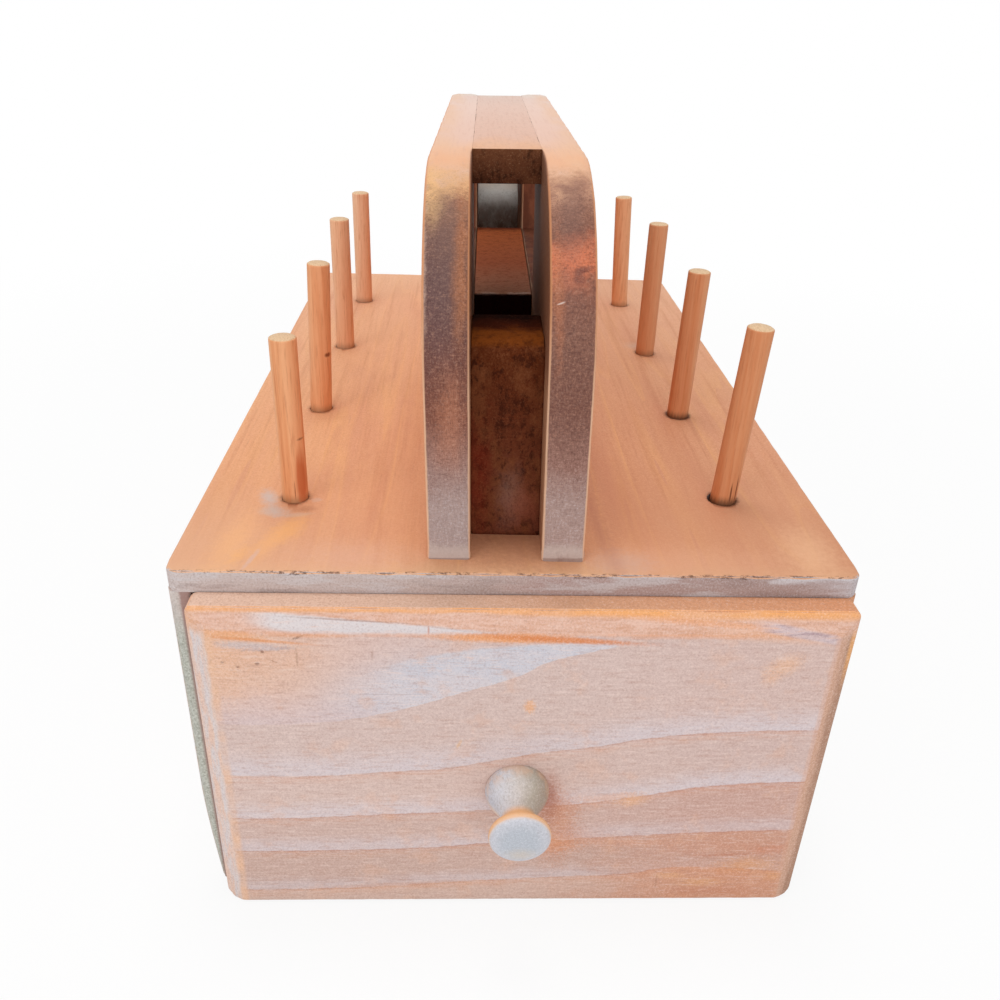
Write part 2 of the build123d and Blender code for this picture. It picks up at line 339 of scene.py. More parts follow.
def roundEdges(points, low, high, radius, wear=None):
    # Rolls a box's arrises to a radius, and takes chips out of them where wear is given.
    inner = np.clip(points, low + radius, high - radius)
    away = points - inner
    length = np.linalg.norm(away, axis=1)
    edge = np.clip((length / radius - 1) / (sqrt(2) - 1), 0, 1)
    unit = away / np.maximum(length, 1e-9)[:, None]
    result = inner + unit * radius
    if wear:
        for index in np.nonzero(edge > 0.02)[0]:
            spot = points[index]
            chip = roughAt(spot, wear["chipSize"], wear["seed"]) - wear["chipStart"]
            ripple = roughAt(spot, wear["chipSize"] * 0.3, wear["seed"] + 4)
            taken = wear["chipDepth"] * min(1, max(0, chip) * 5) * (0.4 + 0.6 * ripple)
            depth = wear["rub"] * ripple + taken
            result[index] -= unit[index] * depth * edge[index] * mm
    return result


def roundPlan(points, low, high, radius, axes=(0, 1)):
    # Rounds the four corners of a box seen along its third axis.
    flat = points[:, axes]
    inner = np.clip(flat, np.array(low)[list(axes)] + radius, np.array(high)[list(axes)] - radius)
    away = flat - inner
    reach = np.max(np.abs(away), axis=1)
    length = np.maximum(np.linalg.norm(away, axis=1), 1e-9)
    corner = (np.abs(away) > 1e-9).all(axis=1)
    moved = inner + away / length[:, None] * reach[:, None]
    result = points.copy()
    rows = np.nonzero(corner)[0]
    for place, axis in enumerate(axes):
        result[rows, axis] = moved[rows, place]
    return result


def boardMesh(
    name, low, high, steps, radius, wear=None, planRadius=None, shape=None,
    squareLow=(0, 0, 0), squareHigh=(0, 0, 0),
):
    # A sawn board between two corners, with rolled and worn arrises; shape may bend its points.
    # squareLow and squareHigh mark with 1 the axes whose low or high face keeps sharp arrises.
    low, high = np.array(low), np.array(high)
    xs, ys, zs = (ticks(low[axis], high[axis], steps[axis] * mm) for axis in range(3))
    points, faces = shellGrid(xs, ys, zs)
    grid = points.copy()
    radius *= mm
    past = np.array(squareLow) * radius, np.array(squareHigh) * radius
    points = roundEdges(points, low - past[0], high + past[1], radius, wear)
    if planRadius:
        points = roundPlan(points, low, high, planRadius * mm)
    if shape:
        points = shape(points, grid)
    return meshObject(name, points, faces)


def cutHoles(piece, holes):
    # Cuts round holes, given as (foot, direction, radius, length), out of a piece.
    work = bmesh.new()
    for foot, direction, radius, length in holes:
        turn = Vector((0, 0, 1)).rotation_difference(Vector(direction)).to_matrix().to_4x4()
        middle = Vector(foot) + Vector(direction).normalized() * length / 2
        bmesh.ops.create_cone(
            work, cap_ends=True, segments=32, radius1=radius, radius2=radius, depth=length,
            matrix=Matrix.Translation(middle) @ turn,
        )
    mesh = bpy.data.meshes.new("cutter")
    work.to_mesh(mesh)
    work.free()
    cutter = bpy.data.objects.new("cutter", mesh)
    scene.collection.objects.link(cutter)
    modifier = piece.modifiers.new("holes", "BOOLEAN")
    modifier.operation = "DIFFERENCE"
    modifier.solver = "EXACT"
    modifier.object = cutter
    settle(piece)
    bpy.data.objects.remove(cutter)


def settle(piece):
    # Turns a piece's modifiers into a plain mesh and removes them.
    bpy.context.view_layer.update()
    shaped = piece.evaluated_get(bpy.context.evaluated_depsgraph_get())
    mesh = bpy.data.meshes.new_from_object(shaped)
    piece.modifiers.clear()
    old = piece.data
    piece.data = mesh
    bpy.data.meshes.remove(old)


# Case

caseWood = {
    # The first two: the top's stain with painted light on its left side and in painted shade on its right
    "stainLitLeft": (236, 176, 130),
    "stain": (220, 159, 120),
    "stainDark": (190, 118, 80),
    "stainPink": (216, 152, 122),
    "stainHoney": (246, 188, 122),
    # How dark the ring round each peg's foot is: glue and stain, with painted shade in the crease
    "footStainAndShade": {"spool_peg_right_1": 0.85, "spool_peg_right_2": 0.85, "spool_peg_left_1": 0.45},
    "washGreen": (192, 194, 184),
    "chip": (92, 62, 48),
    "patches": (
        # Spot and half size on the top in millimetres, turn, strength and colour
        ((-74.5, -111), (2.0, 4.4), 20, 0.8, (204, 190, 184)),
        ((-71.5, -119.5), (3.4, 2.4), -20, 0.8, (204, 186, 176)),
        ((-62.5, -118), (2.4, 1.6), 10, 0.5, (176, 116, 86)),
        ((-65, -121.5), (4.0, 1.2), 12, 0.5, (206, 182, 166)),
        ((-60, -112), (1.6, 1.2), 20, 0.4, (214, 186, 168)),
        ((-65.5, -130), (3.2, 6.5), -20, 0.7, (238, 176, 112)),
        ((-70.3, -139), (2.6, 8), -16, 0.55, (240, 180, 122)),
        ((-76.5, -144), (1.6, 4), -16, 0.55, (238, 178, 118)),
        ((-72.8, -146), (0.7, 5), -14, 0.5, (216, 186, 178)),
        ((63.5, 37.5), (4.5, 4), 0, 0.5, (206, 178, 160)),
        # Painted shade on the top between the plates, in front of the handle's front block
        ((-0.5, -131), (10, 15), 0, 0.75, (172, 116, 86)),
        ((32, -100), (6, 50), 8, 0.35, (196, 128, 98)),
        ((-34, -60), (8, 60), -6, 0.25, (206, 138, 104)),
        ((47, -146), (26, 7), 0, 0.3, (236, 184, 152)),
        ((-46, -145), (14, 7), 0, 0.35, (230, 188, 166)),
        ((29, -146), (7, 5), 0, 0.5, (206, 172, 156)),
        ((-80, -138), (4, 14), -8, 0.35, (250, 190, 128)),
        ((25, -128), (2, 30), 6, 0.35, (184, 124, 104)),
        ((22, -60), (2.5, 50), 4, 0.3, (186, 122, 100)),
        ((60, -60), (3, 70), 3, 0.2, (198, 128, 100)),
        ((84, -140), (6, 12), 0, 0.5, (238, 190, 150)),
    ),
    "topRadius": 4.0,
    "panelRadius": 3.2,
    "arris": 0.8,
    "footHeight": 40.0,
    "footLoss": 2.6,
}

caseLow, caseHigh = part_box("top_board")
caseTop = caseHigh[2]
topHeight = float(caseTop / mm)
frontY = caseLow[1]
pegNames = [name for name in frame["nodes"] if name.startswith("spool_peg")]


def mountOf(name):
    return next(mount for mount in frame["record"]["mounts"] if mount["name"] == name)


def pegLine(name):
    # Where a peg's axis meets the top, and which way it leans.
    mount = mountOf(name)
    axis = Vector(mount["axis"]).normalized()
    spot = Vector(mount["pos_m"])
    return spot - axis * ((spot.z - caseTop) / axis.z), axis


def topBoardMaterial(values):
    surface = Surface("topBoardStain")
    x, y, z = surface.spot
    front = y - float(frontY / mm)
    along = stretched(surface.place, (1, 0.035, 1))
    fine = speckle(along, 1.5, 5, 0.65)
    bands = surface.speckle(0.07, 1.5, 0.4, (1, 0.06, 1), (31, 4, 0))
    rough = surface.speckle(0.6, 4, 0.7)
    # Painted light and shade: the stain lighter on the left, where the key light falls, and darker to the right
    colour = blend(fade(x, -60, 70), values["stainLitLeft"], values["stain"])
    # Paler towards the back: partly the stain's own tone, partly painted light falling from behind
    far = fade(y, -60, 150) * 0.6
    colour = blend(far, colour, (240, 192, 158))
    step = fade(calc("FRACT", bands * 4), 0.0, 1.0)
    nearer = mixValue(fade(y, -90, 60), 1.0, 0.4)
    colour = blend(step * nearer * 0.42, colour, values["stainPink"])
    honey = fade(calc("FRACT", bands * 5 + 0.4), 0.55, 1.0)
    colour = blend(honey * nearer * 0.26, colour, values["stainHoney"])
    cloud = surface.speckle(0.03, 4, 0.6, (1, 0.5, 1), (3, 1, 2))
    colour = blend(fade(cloud, 0.5, 0.7) * 0.4, colour, values["stainPink"])
    streak = fade(surface.speckle(0.3, 3, 0.6, (1, 0.03, 1), (7, 9, 3)), 0.5, 0.72)
    colour = blend(streak * 0.3, colour, values["stainDark"])
    colour = blend(fade(fine, 0.46, 0.7) * 0.15, colour, values["stainDark"])
    pores = fade(surface.speckle(2.0, 2, 0.6, (1, 0.06, 1), (3, 50, 1)), 0.66, 0.76)
    colour = blend(pores * 0.22, colour, (150, 92, 66))
    colour = sand(surface, colour, 0.36, (182, 112, 82), (248, 208, 176))

    # The pale strip by the front arris, the darker boards round the handle, a darker tone near the front, and
    # painted shade on the near right, where the handle's shadow falls
    rubbed = fade(front + rough * 4, 9.0, 2.0) * fade(rough, 0.2, 0.5)
    colour = blend(rubbed * 0.55, colour, (236, 192, 150))
    corner = fade(x, -30, -90) * fade(front, 55, 5)
    colour = blend(corner * 0.5, colour, (234, 190, 158))
    colour = blend(fade(front, 85, 25) * 0.35, colour, (212, 154, 118))
    # Painted shadow of the handle, falling to its right near the front
    handleShadowPainted = fade(front, 75, 20) * fade(x, 10, 60) * 0.35
    colour = blend(handleShadowPainted, colour, (190, 132, 100))
    wobble = (rough - 0.5) * 1.8
    colour = daub(colour, x, y, values["patches"], wobble)
    # A dark ring round each peg's foot: partly glue and stain, partly painted shade in the crease, heaviest at
    # right pegs 1 and 2
    for name in pegNames:
        foot = pegLine(name)[0]
        dx = x - foot.x / mm
        dy = y - foot.y / mm
        away = calc("SQRT", dx * dx + dy * dy)
        ring = fade(away + rough * 2.4, 6.9, 5.2)
        colour = blend(ring * values["footStainAndShade"].get(name, 0.3), colour, (110, 62, 38))

    edge = fade(surface.facingZ, 0.72, 0.4) * fade(z, topHeight - 8, topHeight - 7)
    cloud = surface.speckle(0.35, 4, 0.6, (0.12, 0.12, 0.8), (5, 0, 0))
    grit = surface.speckle(1.7, 4, 0.7)
    wash = paints(x + (cloud - 0.5) * 120, -95, 95, ((-95, (206, 192, 188)), (-30, (196, 178, 172)),
        (10, (180, 154, 148)), (72, (172, 150, 145)), (95, (192, 182, 184))))
    wash = blend(fade(cloud, 0.52, 0.64) * 0.5, wash, (212, 208, 210))
    wash = blend(fade(cloud, 0.47, 0.36) * 0.45, wash, (150, 128, 122))
    wash = sand(surface, wash, 0.62, (132, 106, 98), (218, 214, 220))
    colour = blend(edge, colour, wash)

    # Torn fibres along the front arris
    drop = topHeight - z
    torn = surface.speckle(1.1, 4, 0.85, (0.4, 1, 1))
    where = surface.speckle(0.05, 2, 0.5, (1, 0, 0), (12, 0, 0))
    reach = 0.2 + fade(where, 0.42, 0.66) * 0.8
    band = fade(front, 1.3, 0.5) * fade(drop - reach, 0.4, -0.15) * fade(drop, -0.1, 0.1)
    chips = fade(torn, 0.5, 0.58)
    colour = blend(band * chips * 0.8, colour, values["chip"])
    height = fine * 0.8 + grit * 0.4
    return surface.finish(colour, 0.62, height, 0.12)


def panelMaterial(values, name, along, seed):
    # Whitewash rubbed over stained ply on a case panel, greyer on its sawn edges.
    surface = Surface(name)
    x, y, z = surface.spot
    grain = woodGrain(surface, along, seed, 6)
    colour = blend(fade(grain["blotch"], 0.35, 0.65), (222, 180, 156), (214, 192, 184))
    colour = blend(fade(grain["bands"], 0.45, 0.98), colour, (214, 206, 210))
    colour = blend(fade(grain["fibre"], 0.45, 0.7) * 0.3, colour, (202, 156, 128))
    colour = blend(grain["pores"] * 0.35, colour, (150, 112, 92))
    ends = surface.facingX if along == "x" else surface.facingY
    sawn = fade(abs(ends), 0.4, 0.8)
    grit = surface.speckle(1.6, 4, 0.7)
    edgeWash = blend(fade(grit, 0.42, 0.68), values["washGreen"], (154, 154, 142))
    edgeWash = blend(fade(z, topHeight - 26, topHeight - 8) * fade(grain["blotch"], 0.3, 0.6), edgeWash,
        (204, 192, 186))
    edgeWash = sand(surface, edgeWash, 0.5, (128, 122, 112), (232, 232, 228), 0.7)

    # Painted shade down the strip of sawn edge beside the drawer front, where the front's shadow falls
    shut = -91.6 - x
    shutLineShade = fade(shut + grit * 0.6, 0.7, -0.4) * fade(x, 0, -1) * fade(y, 0, -1)
    edgeWash = blend(shutLineShade * 0.75, edgeWash, (148, 106, 98))
    colour = blend(sawn, colour, edgeWash)
    # Painted shade: a darker tan at the right panel's top front corner, beside the drawer front's rounded corner
    cornerShadePainted = fade(x, 90, 93) * fade(z, topHeight - 14, topHeight - 10) * fade(y, -136, -146)
    colour = blend(cornerShadePainted, colour, (212, 156, 120))
    height = grain["fibre"] * 0.8 + grit * 0.4
    return surface.finish(colour, 0.66, height, 0.12)


caseWear = {"seed": 2, "chipSize": 0.006, "chipStart": 0.56, "chipDepth": 0.9, "rub": 0.25}


def makeCase():
    low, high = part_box("top_board")
    board = boardMesh(
        "topBoard", low, high, (0.8, 4.0, 0.9), caseWood["arris"], caseWear, caseWood["topRadius"],
        squareLow=(0, 0, 1),
    )
    holes = []
    for name in pegNames:
        foot, axis = pegLine(name)
        wide, aside = (4.5, -0.4) if name == "spool_peg_right_1" else (4.1, 0)
        holes.append((foot - axis * 0.004 + Vector((aside * mm, 0, 0)), axis, wide * mm, 0.012))
    cutHoles(board, holes)
    dress(board, "top_board", "case", "stained_top", topBoardMaterial(caseWood))
    sideMaterial = panelMaterial(caseWood, "sidePanelWash", "y", 3)
    for side, outer, seed in (("left", -1, 5), ("right", 1, 6)):
        node = side + "_side_panel"
        low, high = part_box(node)
        wear = dict(caseWear, seed=seed, chipDepth=0.7)

        def wornFoot(points, grid):
            # The front foot is knocked and rubbed back towards the drawer
            near = np.clip(1 - (grid[:, 1] - low[1]) / (30 * mm), 0, 1)
            fall = np.clip(1 - (grid[:, 2] - low[2]) / (caseWood["footHeight"] * mm), 0, 1) ** 1.5
            share = (grid[:, 0] - low[0]) / (high[0] - low[0])
            share = share if outer > 0 else 1 - share
            outerFront = (share > 0.5) & (near > 0)
            points[outerFront] = roundPlan(points[outerFront], low, high, caseWood["panelRadius"] * mm)
            points[:, 0] -= outer * caseWood["footLoss"] * mm * near * fall * share
            return points

        name, steps = side + "SidePanel", (0.9, 4.0, 1.2)
        panel = boardMesh(name, low, high, steps, 0.6, wear, None, wornFoot, squareHigh=(0, 0, 1))
        dress(panel, node, "case", "case_panels", sideMaterial)
    low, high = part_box("back_panel")
    back = boardMesh("backPanel", low, high, (3, 0.9, 3), 0.5, dict(caseWear, seed=8), squareHigh=(0, 0, 1))
    dress(back, "back_panel", "case", "case_panels", panelMaterial(caseWood, "backPanelWash", "x", 4))
    print("case done")


# Drawer front

drawerFront = {
    "bevelTop": 6.7,
    "bevelSide": 5.3,
    "bevelDepth": 2.5,
    "arris": 0.7,
    "cornerRadius": 3.0,  # at the left foot, which is worn rounder than the rest
    "smallRadius": 2.2,
    "orange": (232, 156, 104),
    "brightOrange": (240, 170, 106),
    "lavender": (214, 207, 214),
    "wedge": (212, 207, 213),
    # Left and right shade of each ground, from the bottom one up, and the white over each line
    "grounds": (
        ((212, 182, 168), (210, 153, 124)),
        ((202, 172, 160), (200, 156, 138)),
        ((206, 178, 168), (202, 164, 152)),
        ((214, 189, 180), (208, 182, 175)),
        ((212, 189, 182), (212, 185, 177)),
    ),
    "whites": (0.5, 0.62, 0.68, 0.72),
    "whiteWidths": (7, 8, 9, 12),
    "patches": (
        # The first six lie right of and below the knob: rubbed stain with the knob's painted shadow in it,
        # darkest along the flange's right edge
        ((14.0, 41.5), (5, 6), 20, 0.6, (206, 136, 96)),
        ((14.5, 31), (5, 10), 0, 0.55, (204, 132, 92)),
        ((14.5, 27), (5.5, 3), 0, 0.5, (232, 152, 92)),
        ((11.8, 46), (2.4, 8), 0, 0.7, (176, 108, 84)),
        ((21, 30), (9, 4), -20, 0.4, (214, 150, 118)),
        ((8, 25), (9, 3), 0, 0.35, (216, 148, 116)),
        ((36.8, 45.3), (3.5, 2), 15, 0.6, (236, 180, 132)),
        ((30, 46.5), (8, 1.3), 10, 0.4, (226, 160, 112)),
        ((4.3, 81.5), (1.4, 2.2), 0, 0.7, (240, 176, 120)),
        ((74, 96.5), (4.2, 2.6), 30, 0.65, (236, 184, 144)),
        ((71, 92), (2, 2), 0, 0.4, (234, 180, 140)),
        ((-74, 99), (10, 4), -10, 0.35, (232, 176, 138)),
        ((-80, 93), (4, 9), 0, 0.5, (234, 182, 144)),
        ((-72, 102.2), (9, 1.1), -3, 0.8, (204, 190, 190)),
        ((-66, 101.2), (7, 0.5), 4, 0.7, (190, 172, 172)),
        ((-68.5, 100.2), (0.5, 0.4), 0, 0.8, (140, 100, 80)),
        ((-70.2, 96.2), (0.5, 0.45), 0, 0.8, (130, 92, 76)),
        ((-79.5, 96.6), (0.4, 0.4), 0, 0.7, (150, 104, 84)),
        ((-75.5, 95.0), (0.4, 0.3), 0, 0.7, (150, 104, 84)),
        ((-65.6, 97.0), (1.6, 0.25), -25, 0.6, (176, 124, 96)),
        ((-58.6, 105.2), (1.5, 0.35), 25, 0.9, (120, 88, 72)),
        ((-59.4, 98), (0.3, 3), 0, 0.5, (150, 108, 88)),
        ((-27.5, 109.2), (0.4, 2.2), 4, 0.75, (190, 146, 138)),
        ((-39.2, 99.4), (0.3, 1.6), 0, 0.5, (176, 140, 128)),
        ((-15.5, 67.5), (0.5, 1.6), -20, 0.6, (232, 188, 140)),
        ((-33.4, 85.8), (11, 0.2), 0, 0.4, (180, 168, 176)),
        ((48.2, 9.5), (0.3, 2.5), 0, 0.5, (176, 120, 90)),
        ((-30, 8), (26, 1.4), 3, 0.4, (214, 160, 128)),
        ((62, 14), (26, 4), -4, 0.3, (214, 144, 100)),
        ((76, 17), (7, 2.4), 4, 0.55, (228, 160, 98)),
        ((62, 9), (6, 1.6), 0, 0.5, (226, 166, 110)),
        ((52, 12), (4, 1.2), 0, 0.4, (232, 176, 122)),
        ((82, 24), (5, 1.6), 6, 0.45, (206, 122, 84)),
        ((70, 21.5), (9, 0.5), 2, 0.5, (182, 108, 76)),
        ((66, 5), (10, 1.5), 0, 0.45, (196, 124, 88)),
        ((86, 12), (3, 2), 0, 0.4, (232, 170, 112)),
        ((38, 27), (10, 1.5), 0, 0.35, (222, 156, 118)),
        ((70, 26), (20, 4), 0, 0.35, (214, 140, 98)),
        ((60, 1.5), (30, 2), 0, 0.3, (206, 140, 96)),
    ),
}
drawerFront["arrisPatches"] = (
    # The stain that shows through on the bevel's arrises
    ((-2, 105.2), (18, 1.3), -1, 0.9, (236, 160, 100)),
    ((12, 104.9), (19, 0.9), -3, 0.9, (220, 134, 78)),
    ((-77, 105.6), (9, 1.3), -6, 0.6, (238, 168, 108)),
    ((-70, 104.1), (13, 0.45), -5, 0.7, (226, 150, 94)),
    ((-91, 107), (4.5, 6), 0, 0.6, (238, 180, 132)),
    ((-24, 107.4), (0.25, 1.3), 0, 0.7, (198, 136, 116)),
    ((-84, 103), (3, 3), 0, 0.5, (236, 176, 130)),
    ((-55, 105.6), (10, 0.6), 0, 0.45, (226, 160, 116)),
    ((74, 106.2), (18, 1.5), -3, 0.5, (236, 178, 138)),
    ((50, 110), (20, 0.8), -4, 0.45, (238, 164, 108)),
    ((-46, 110.0), (14, 0.22), -2.7, 0.5, (150, 112, 104)),
    ((-19, 108.0), (12, 0.2), -6.5, 0.25, (176, 136, 128)),
)
grainOrder = ("fifth", "fourth", "third", "second")

# Height of each grain line above the table at a few places across the front, in millimetres
grainLines = {
    "wedgeFoot": [
        (-90, 75), (-56, 75.3), (-36, 79), (-16, 86), (1, 92.5), (9, 97.4), (18, 100.2), (30, 103.3), (95, 112),
    ],
    "wedgeHead": [(-90, 86), (-60, 88), (-42, 93), (-29, 98), (1, 103), (26, 104), (95, 106)],
    "second": [
        (-90, 55.5), (-57, 55), (-37, 56.6), (-19, 58.2), (-6, 61), (8, 64.2), (24, 66.6), (38, 69.7), (57, 72),
        (95, 73.2),
    ],
    "third": [
        (-90, 37.8), (-65, 37.8), (-44, 39), (-6, 41.2), (16, 43.2), (28, 44.9), (45, 48.2), (57, 50.7), (95, 53),
    ],
    "fourth": [(-90, 23.6), (-52, 24), (-23, 25.2), (-6, 27), (14, 28.7), (29, 29.5), (55, 31.2), (95, 33)],
    "fifth": [
        (-90, 6.2), (-45, 7.1), (-19, 9.3), (5, 11), (22, 12), (37, 12.8), (52, 15.8), (64, 15.9), (95, 13),
    ],
}


def grainLine(surface, points):
    # The height of a grain line at each point's place across the front.
    left, right, tall = -90.0, 95.0, 120.0
    across = calc("DIVIDE", surface.spot[0] - left, right - left, clamp=True)
    item = addNode(surface.tree, "ShaderNodeFloatCurve", {"Value": across})
    curve = item.mapping.curves[0]
    while len(curve.points) < len(points):
        curve.points.new(0.5, 0.5)
    for spot, (x, z) in zip(curve.points, points):
        spot.location = ((x - left) / (right - left), z / tall)
    item.mapping.update()
    wander = surface.speckle(0.25, 4, 0.6, (1, 0, 0)) - 0.5
    return Signal(item.outputs[0]) * tall + wander * 1.4


def drawerFrontMaterial(values, low, high):
    surface = Surface("drawerFrontWash")
    x, y, z = surface.spot
    fine = surface.speckle(1.1, 4, 0.65, (0.12, 1, 1))
    dust = surface.speckle(1.5, 3, 0.7)
    mottle = surface.speckle(0.09, 4, 0.6)
    cloud = surface.speckle(0.12, 4, 0.6, (0.4, 1, 1), (9, 0, 4))
    left, right = low[0] / mm, high[0] / mm
    top = high[2] / mm
    inFromLeft = x - left
    inFromRight = right - x
    down = top - z
    toRight = fade(x + (mottle - 0.5) * 60, 0, 70)

    # The ground between the growth lines from the bottom up, pinker to the left, browner to the right
    colour = blend(toRight, values["grounds"][0][0], values["grounds"][0][1])
    layers = zip(grainOrder, values["grounds"][1:], values["whites"], values["whiteWidths"])
    for key, (leftShade, rightShade), strength, width in layers:
        rise = z - grainLine(surface, grainLines[key])
        ground = blend(toRight, leftShade, rightShade)
        colour = blend(fade(rise, -0.2, 0.25), colour, ground)
        patchy = calc("ADD", 0.35, cloud * 1.1, clamp=True)
        fall = rise + (fine - 0.5) * 7.0
        above = fade(fall, width, 0.5) * fade(rise, -0.15, 0.25) * patchy
        lessRight = 1.0 - toRight * fade(z, 45, 20) * 0.7
        colour = blend(above * lessRight * strength, colour, values["lavender"])
        below = fade(rise, -5.0, -0.3) * fade(rise, 0.1, -0.2) * fade(fine, 0.35, 0.7)
        colour = blend(below * 0.3, colour, values["orange"])
        thin = fade(rise, -0.8, -0.15) * fade(rise, 0.12, -0.1) * fade(mottle, 0.3, 0.55)
        colour = blend(thin * 0.4, colour, (176, 122, 112))

    # The white wedge that comes to a point on the right
    foot = z - grainLine(surface, grainLines["wedgeFoot"])
    head = grainLine(surface, grainLines["wedgeHead"]) - z
    softHead = mixValue(fade(x, -48, -8), fade(head + fine * 8, -6, 12), fade(head, -0.5, 0.8))
    aboveFoot = fade(foot, -0.15, 0.25)
    upperGround = blend(fade(x, -70, 0), (220, 190, 180), (212, 188, 182))
    colour = blend(aboveFoot * fade(x, 30, 22), colour, upperGround)
    tanCorner = fade(x, -34, -72) * fade(z + cloud * 12, 88, 99)
    colour = blend(tanCorner * 0.6, colour, (228, 184, 154))
    wedge = aboveFoot * softHead * fade(x, -66, -30) * fade(x, 30, 24)
    wedgeShade = blend(fade(cloud + fine * 0.3, 0.5, 0.85), values["wedge"], (200, 204, 216))
    colour = blend(wedge * 0.92, colour, wedgeShade)
    faint = aboveFoot * fade(foot + fine * 5, 13, 1.5) * fade(x, -26, -50)
    colour = blend(faint * 0.75, colour, (210, 192, 194))

    # Handling marks, nicks, and the rubbed stain beside the knob with the knob's shadow painted into it
    wobble = (dust - 0.5) * 2.4
    colour = daub(colour, x, z, values["patches"], wobble)
    fibres = fade(fine, 0.5, 0.7) * 0.42
    colour = blend(fibres, colour, (188, 144, 128))
    colour = blend(fade(fine, 0.48, 0.32) * 0.4, colour, (234, 212, 204))
    colour = blend(fade(mottle, 0.56, 0.68) * 0.25, colour, (228, 180, 150))

    # The bevel: pink wash, a pale wedge, bright stain on both its arrises
    shake = (cloud - 0.5) * 2.2
    bevelTop = fade(down, values["bevelTop"] + 0.7, values["bevelTop"] - 0.2)
    bevelWash = blend(fade(fine, 0.35, 0.68), (228, 186, 166), (216, 166, 140))
    bevelWash = blend(fade(dust, 0.5, 0.7) * 0.3, bevelWash, (234, 214, 206))
    colour = blend(bevelTop, colour, bevelWash)
    slope = z + x * 0.075
    slant = z + x * 0.2
    pale = fade(slope + fine * 1.4, 107.9, 107.1) * fade(z, 103.0, 104.2) * fade(slant, 93.0,
        95.5) * bevelTop * fade(x, -76, -64) * fade(x, 6, -18)
    colour = blend(pale * fade(fine, 0.15, 0.5) * 0.88, colour, (218, 214, 217))
    arrisWidth = mixValue(fade(x, -20, 40), 0.9, 1.9)
    outer = fade(abs(down + shake - 0.6) / arrisWidth, 1.3, 0.3)
    worn = calc("ADD", mixValue(fade(x, -20, 40), 0.4, 0.62), fade(cloud, 0.35, 0.6) * 0.4, clamp=True)
    colour = blend(outer * worn, colour, values["brightOrange"])
    strip = fade(abs(down + shake * 0.8 - (values["bevelTop"] + 0.3)), 1.1, 0.3)
    colour = blend(strip * fade(mottle, 0.35, 0.6) * 0.35, colour, values["orange"])
    colour = daub(colour, x, z, values["arrisPatches"], wobble * 0.5)
    paleRight = fade(abs(z - 121.9 + x * 0.19), 2.0, 0.8) * fade(x, 62, 72) * fade(x, 90, 86) * fade(fine,
        0.25, 0.5)
    colour = blend(paleRight * 0.75, colour, (204, 190, 198))
    colour = blend(paleRight * fade(fine, 0.52, 0.62) * 0.6, colour, (160, 134, 142))

    below = fade(down, 4, 9)
    sideLeft = fade(inFromLeft, values["bevelSide"] + 0.4, values["bevelSide"] - 0.6)
    drag = surface.speckle(0.5, 4, 0.6, (1, 1, 0.15), (2, 0, 5))
    leftWash = blend(fade(drag + inFromLeft * -0.02, 0.34, 0.56), (214, 204, 204), (226, 192, 174))
    leftWash = sand(surface, leftWash, 0.3, (190, 156, 146), (240, 226, 220))
    colour = blend(sideLeft * below, colour, leftWash)
    # The right bevel is browner and darker than the left: partly its own colour, partly painted shade, as it
    # faces away from the light
    sideRight = fade(inFromRight, values["bevelSide"] + 0.4, values["bevelSide"] - 0.6)
    rightWashShaded = blend(fade(inFromRight + (drag - 0.5) * 5, 1.6, 3.8), (176, 134, 110), (208, 164, 140))
    rightWashShaded = blend(fade(z, 84, 100) * fade(inFromRight, 2.4, 1.2), rightWashShaded, (230, 168, 108))
    rightWashShaded = sand(surface, rightWashShaded, 0.3, (150, 108, 88), (226, 190, 166))
    colour = blend(sideRight * below, colour, rightWashShaded)
    bandLeft = fade(abs(inFromLeft - (values["bevelSide"] + 0.5)), 2.0, 0.5)
    colour = blend(bandLeft * below * fade(cloud, 0.2, 0.75), colour, (232, 188, 156))
    bandRight = fade(abs(inFromRight - (values["bevelSide"] + 0.4)), 1.2, 0.3)
    colour = blend(bandRight * below * 0.4, colour, (218, 168, 140))
    topFace = fade(surface.facingZ, 0.75, 0.95)
    topShade = paints(x, -90, 95, ((-90, (226, 190, 168)), (-20, (214, 176, 152)), (20, (212, 158, 122)),
        (95, (216, 148, 104))))
    topShade = blend(fade(dust, 0.5, 0.66) * 0.4, topShade, (176, 130, 106))
    colour = blend(topFace, colour, topShade)
    colour = sand(surface, colour, 0.46, (170, 128, 116), (242, 220, 210))
    height = fine + dust * 0.7
    return surface.finish(colour, 0.62, height, 0.12)


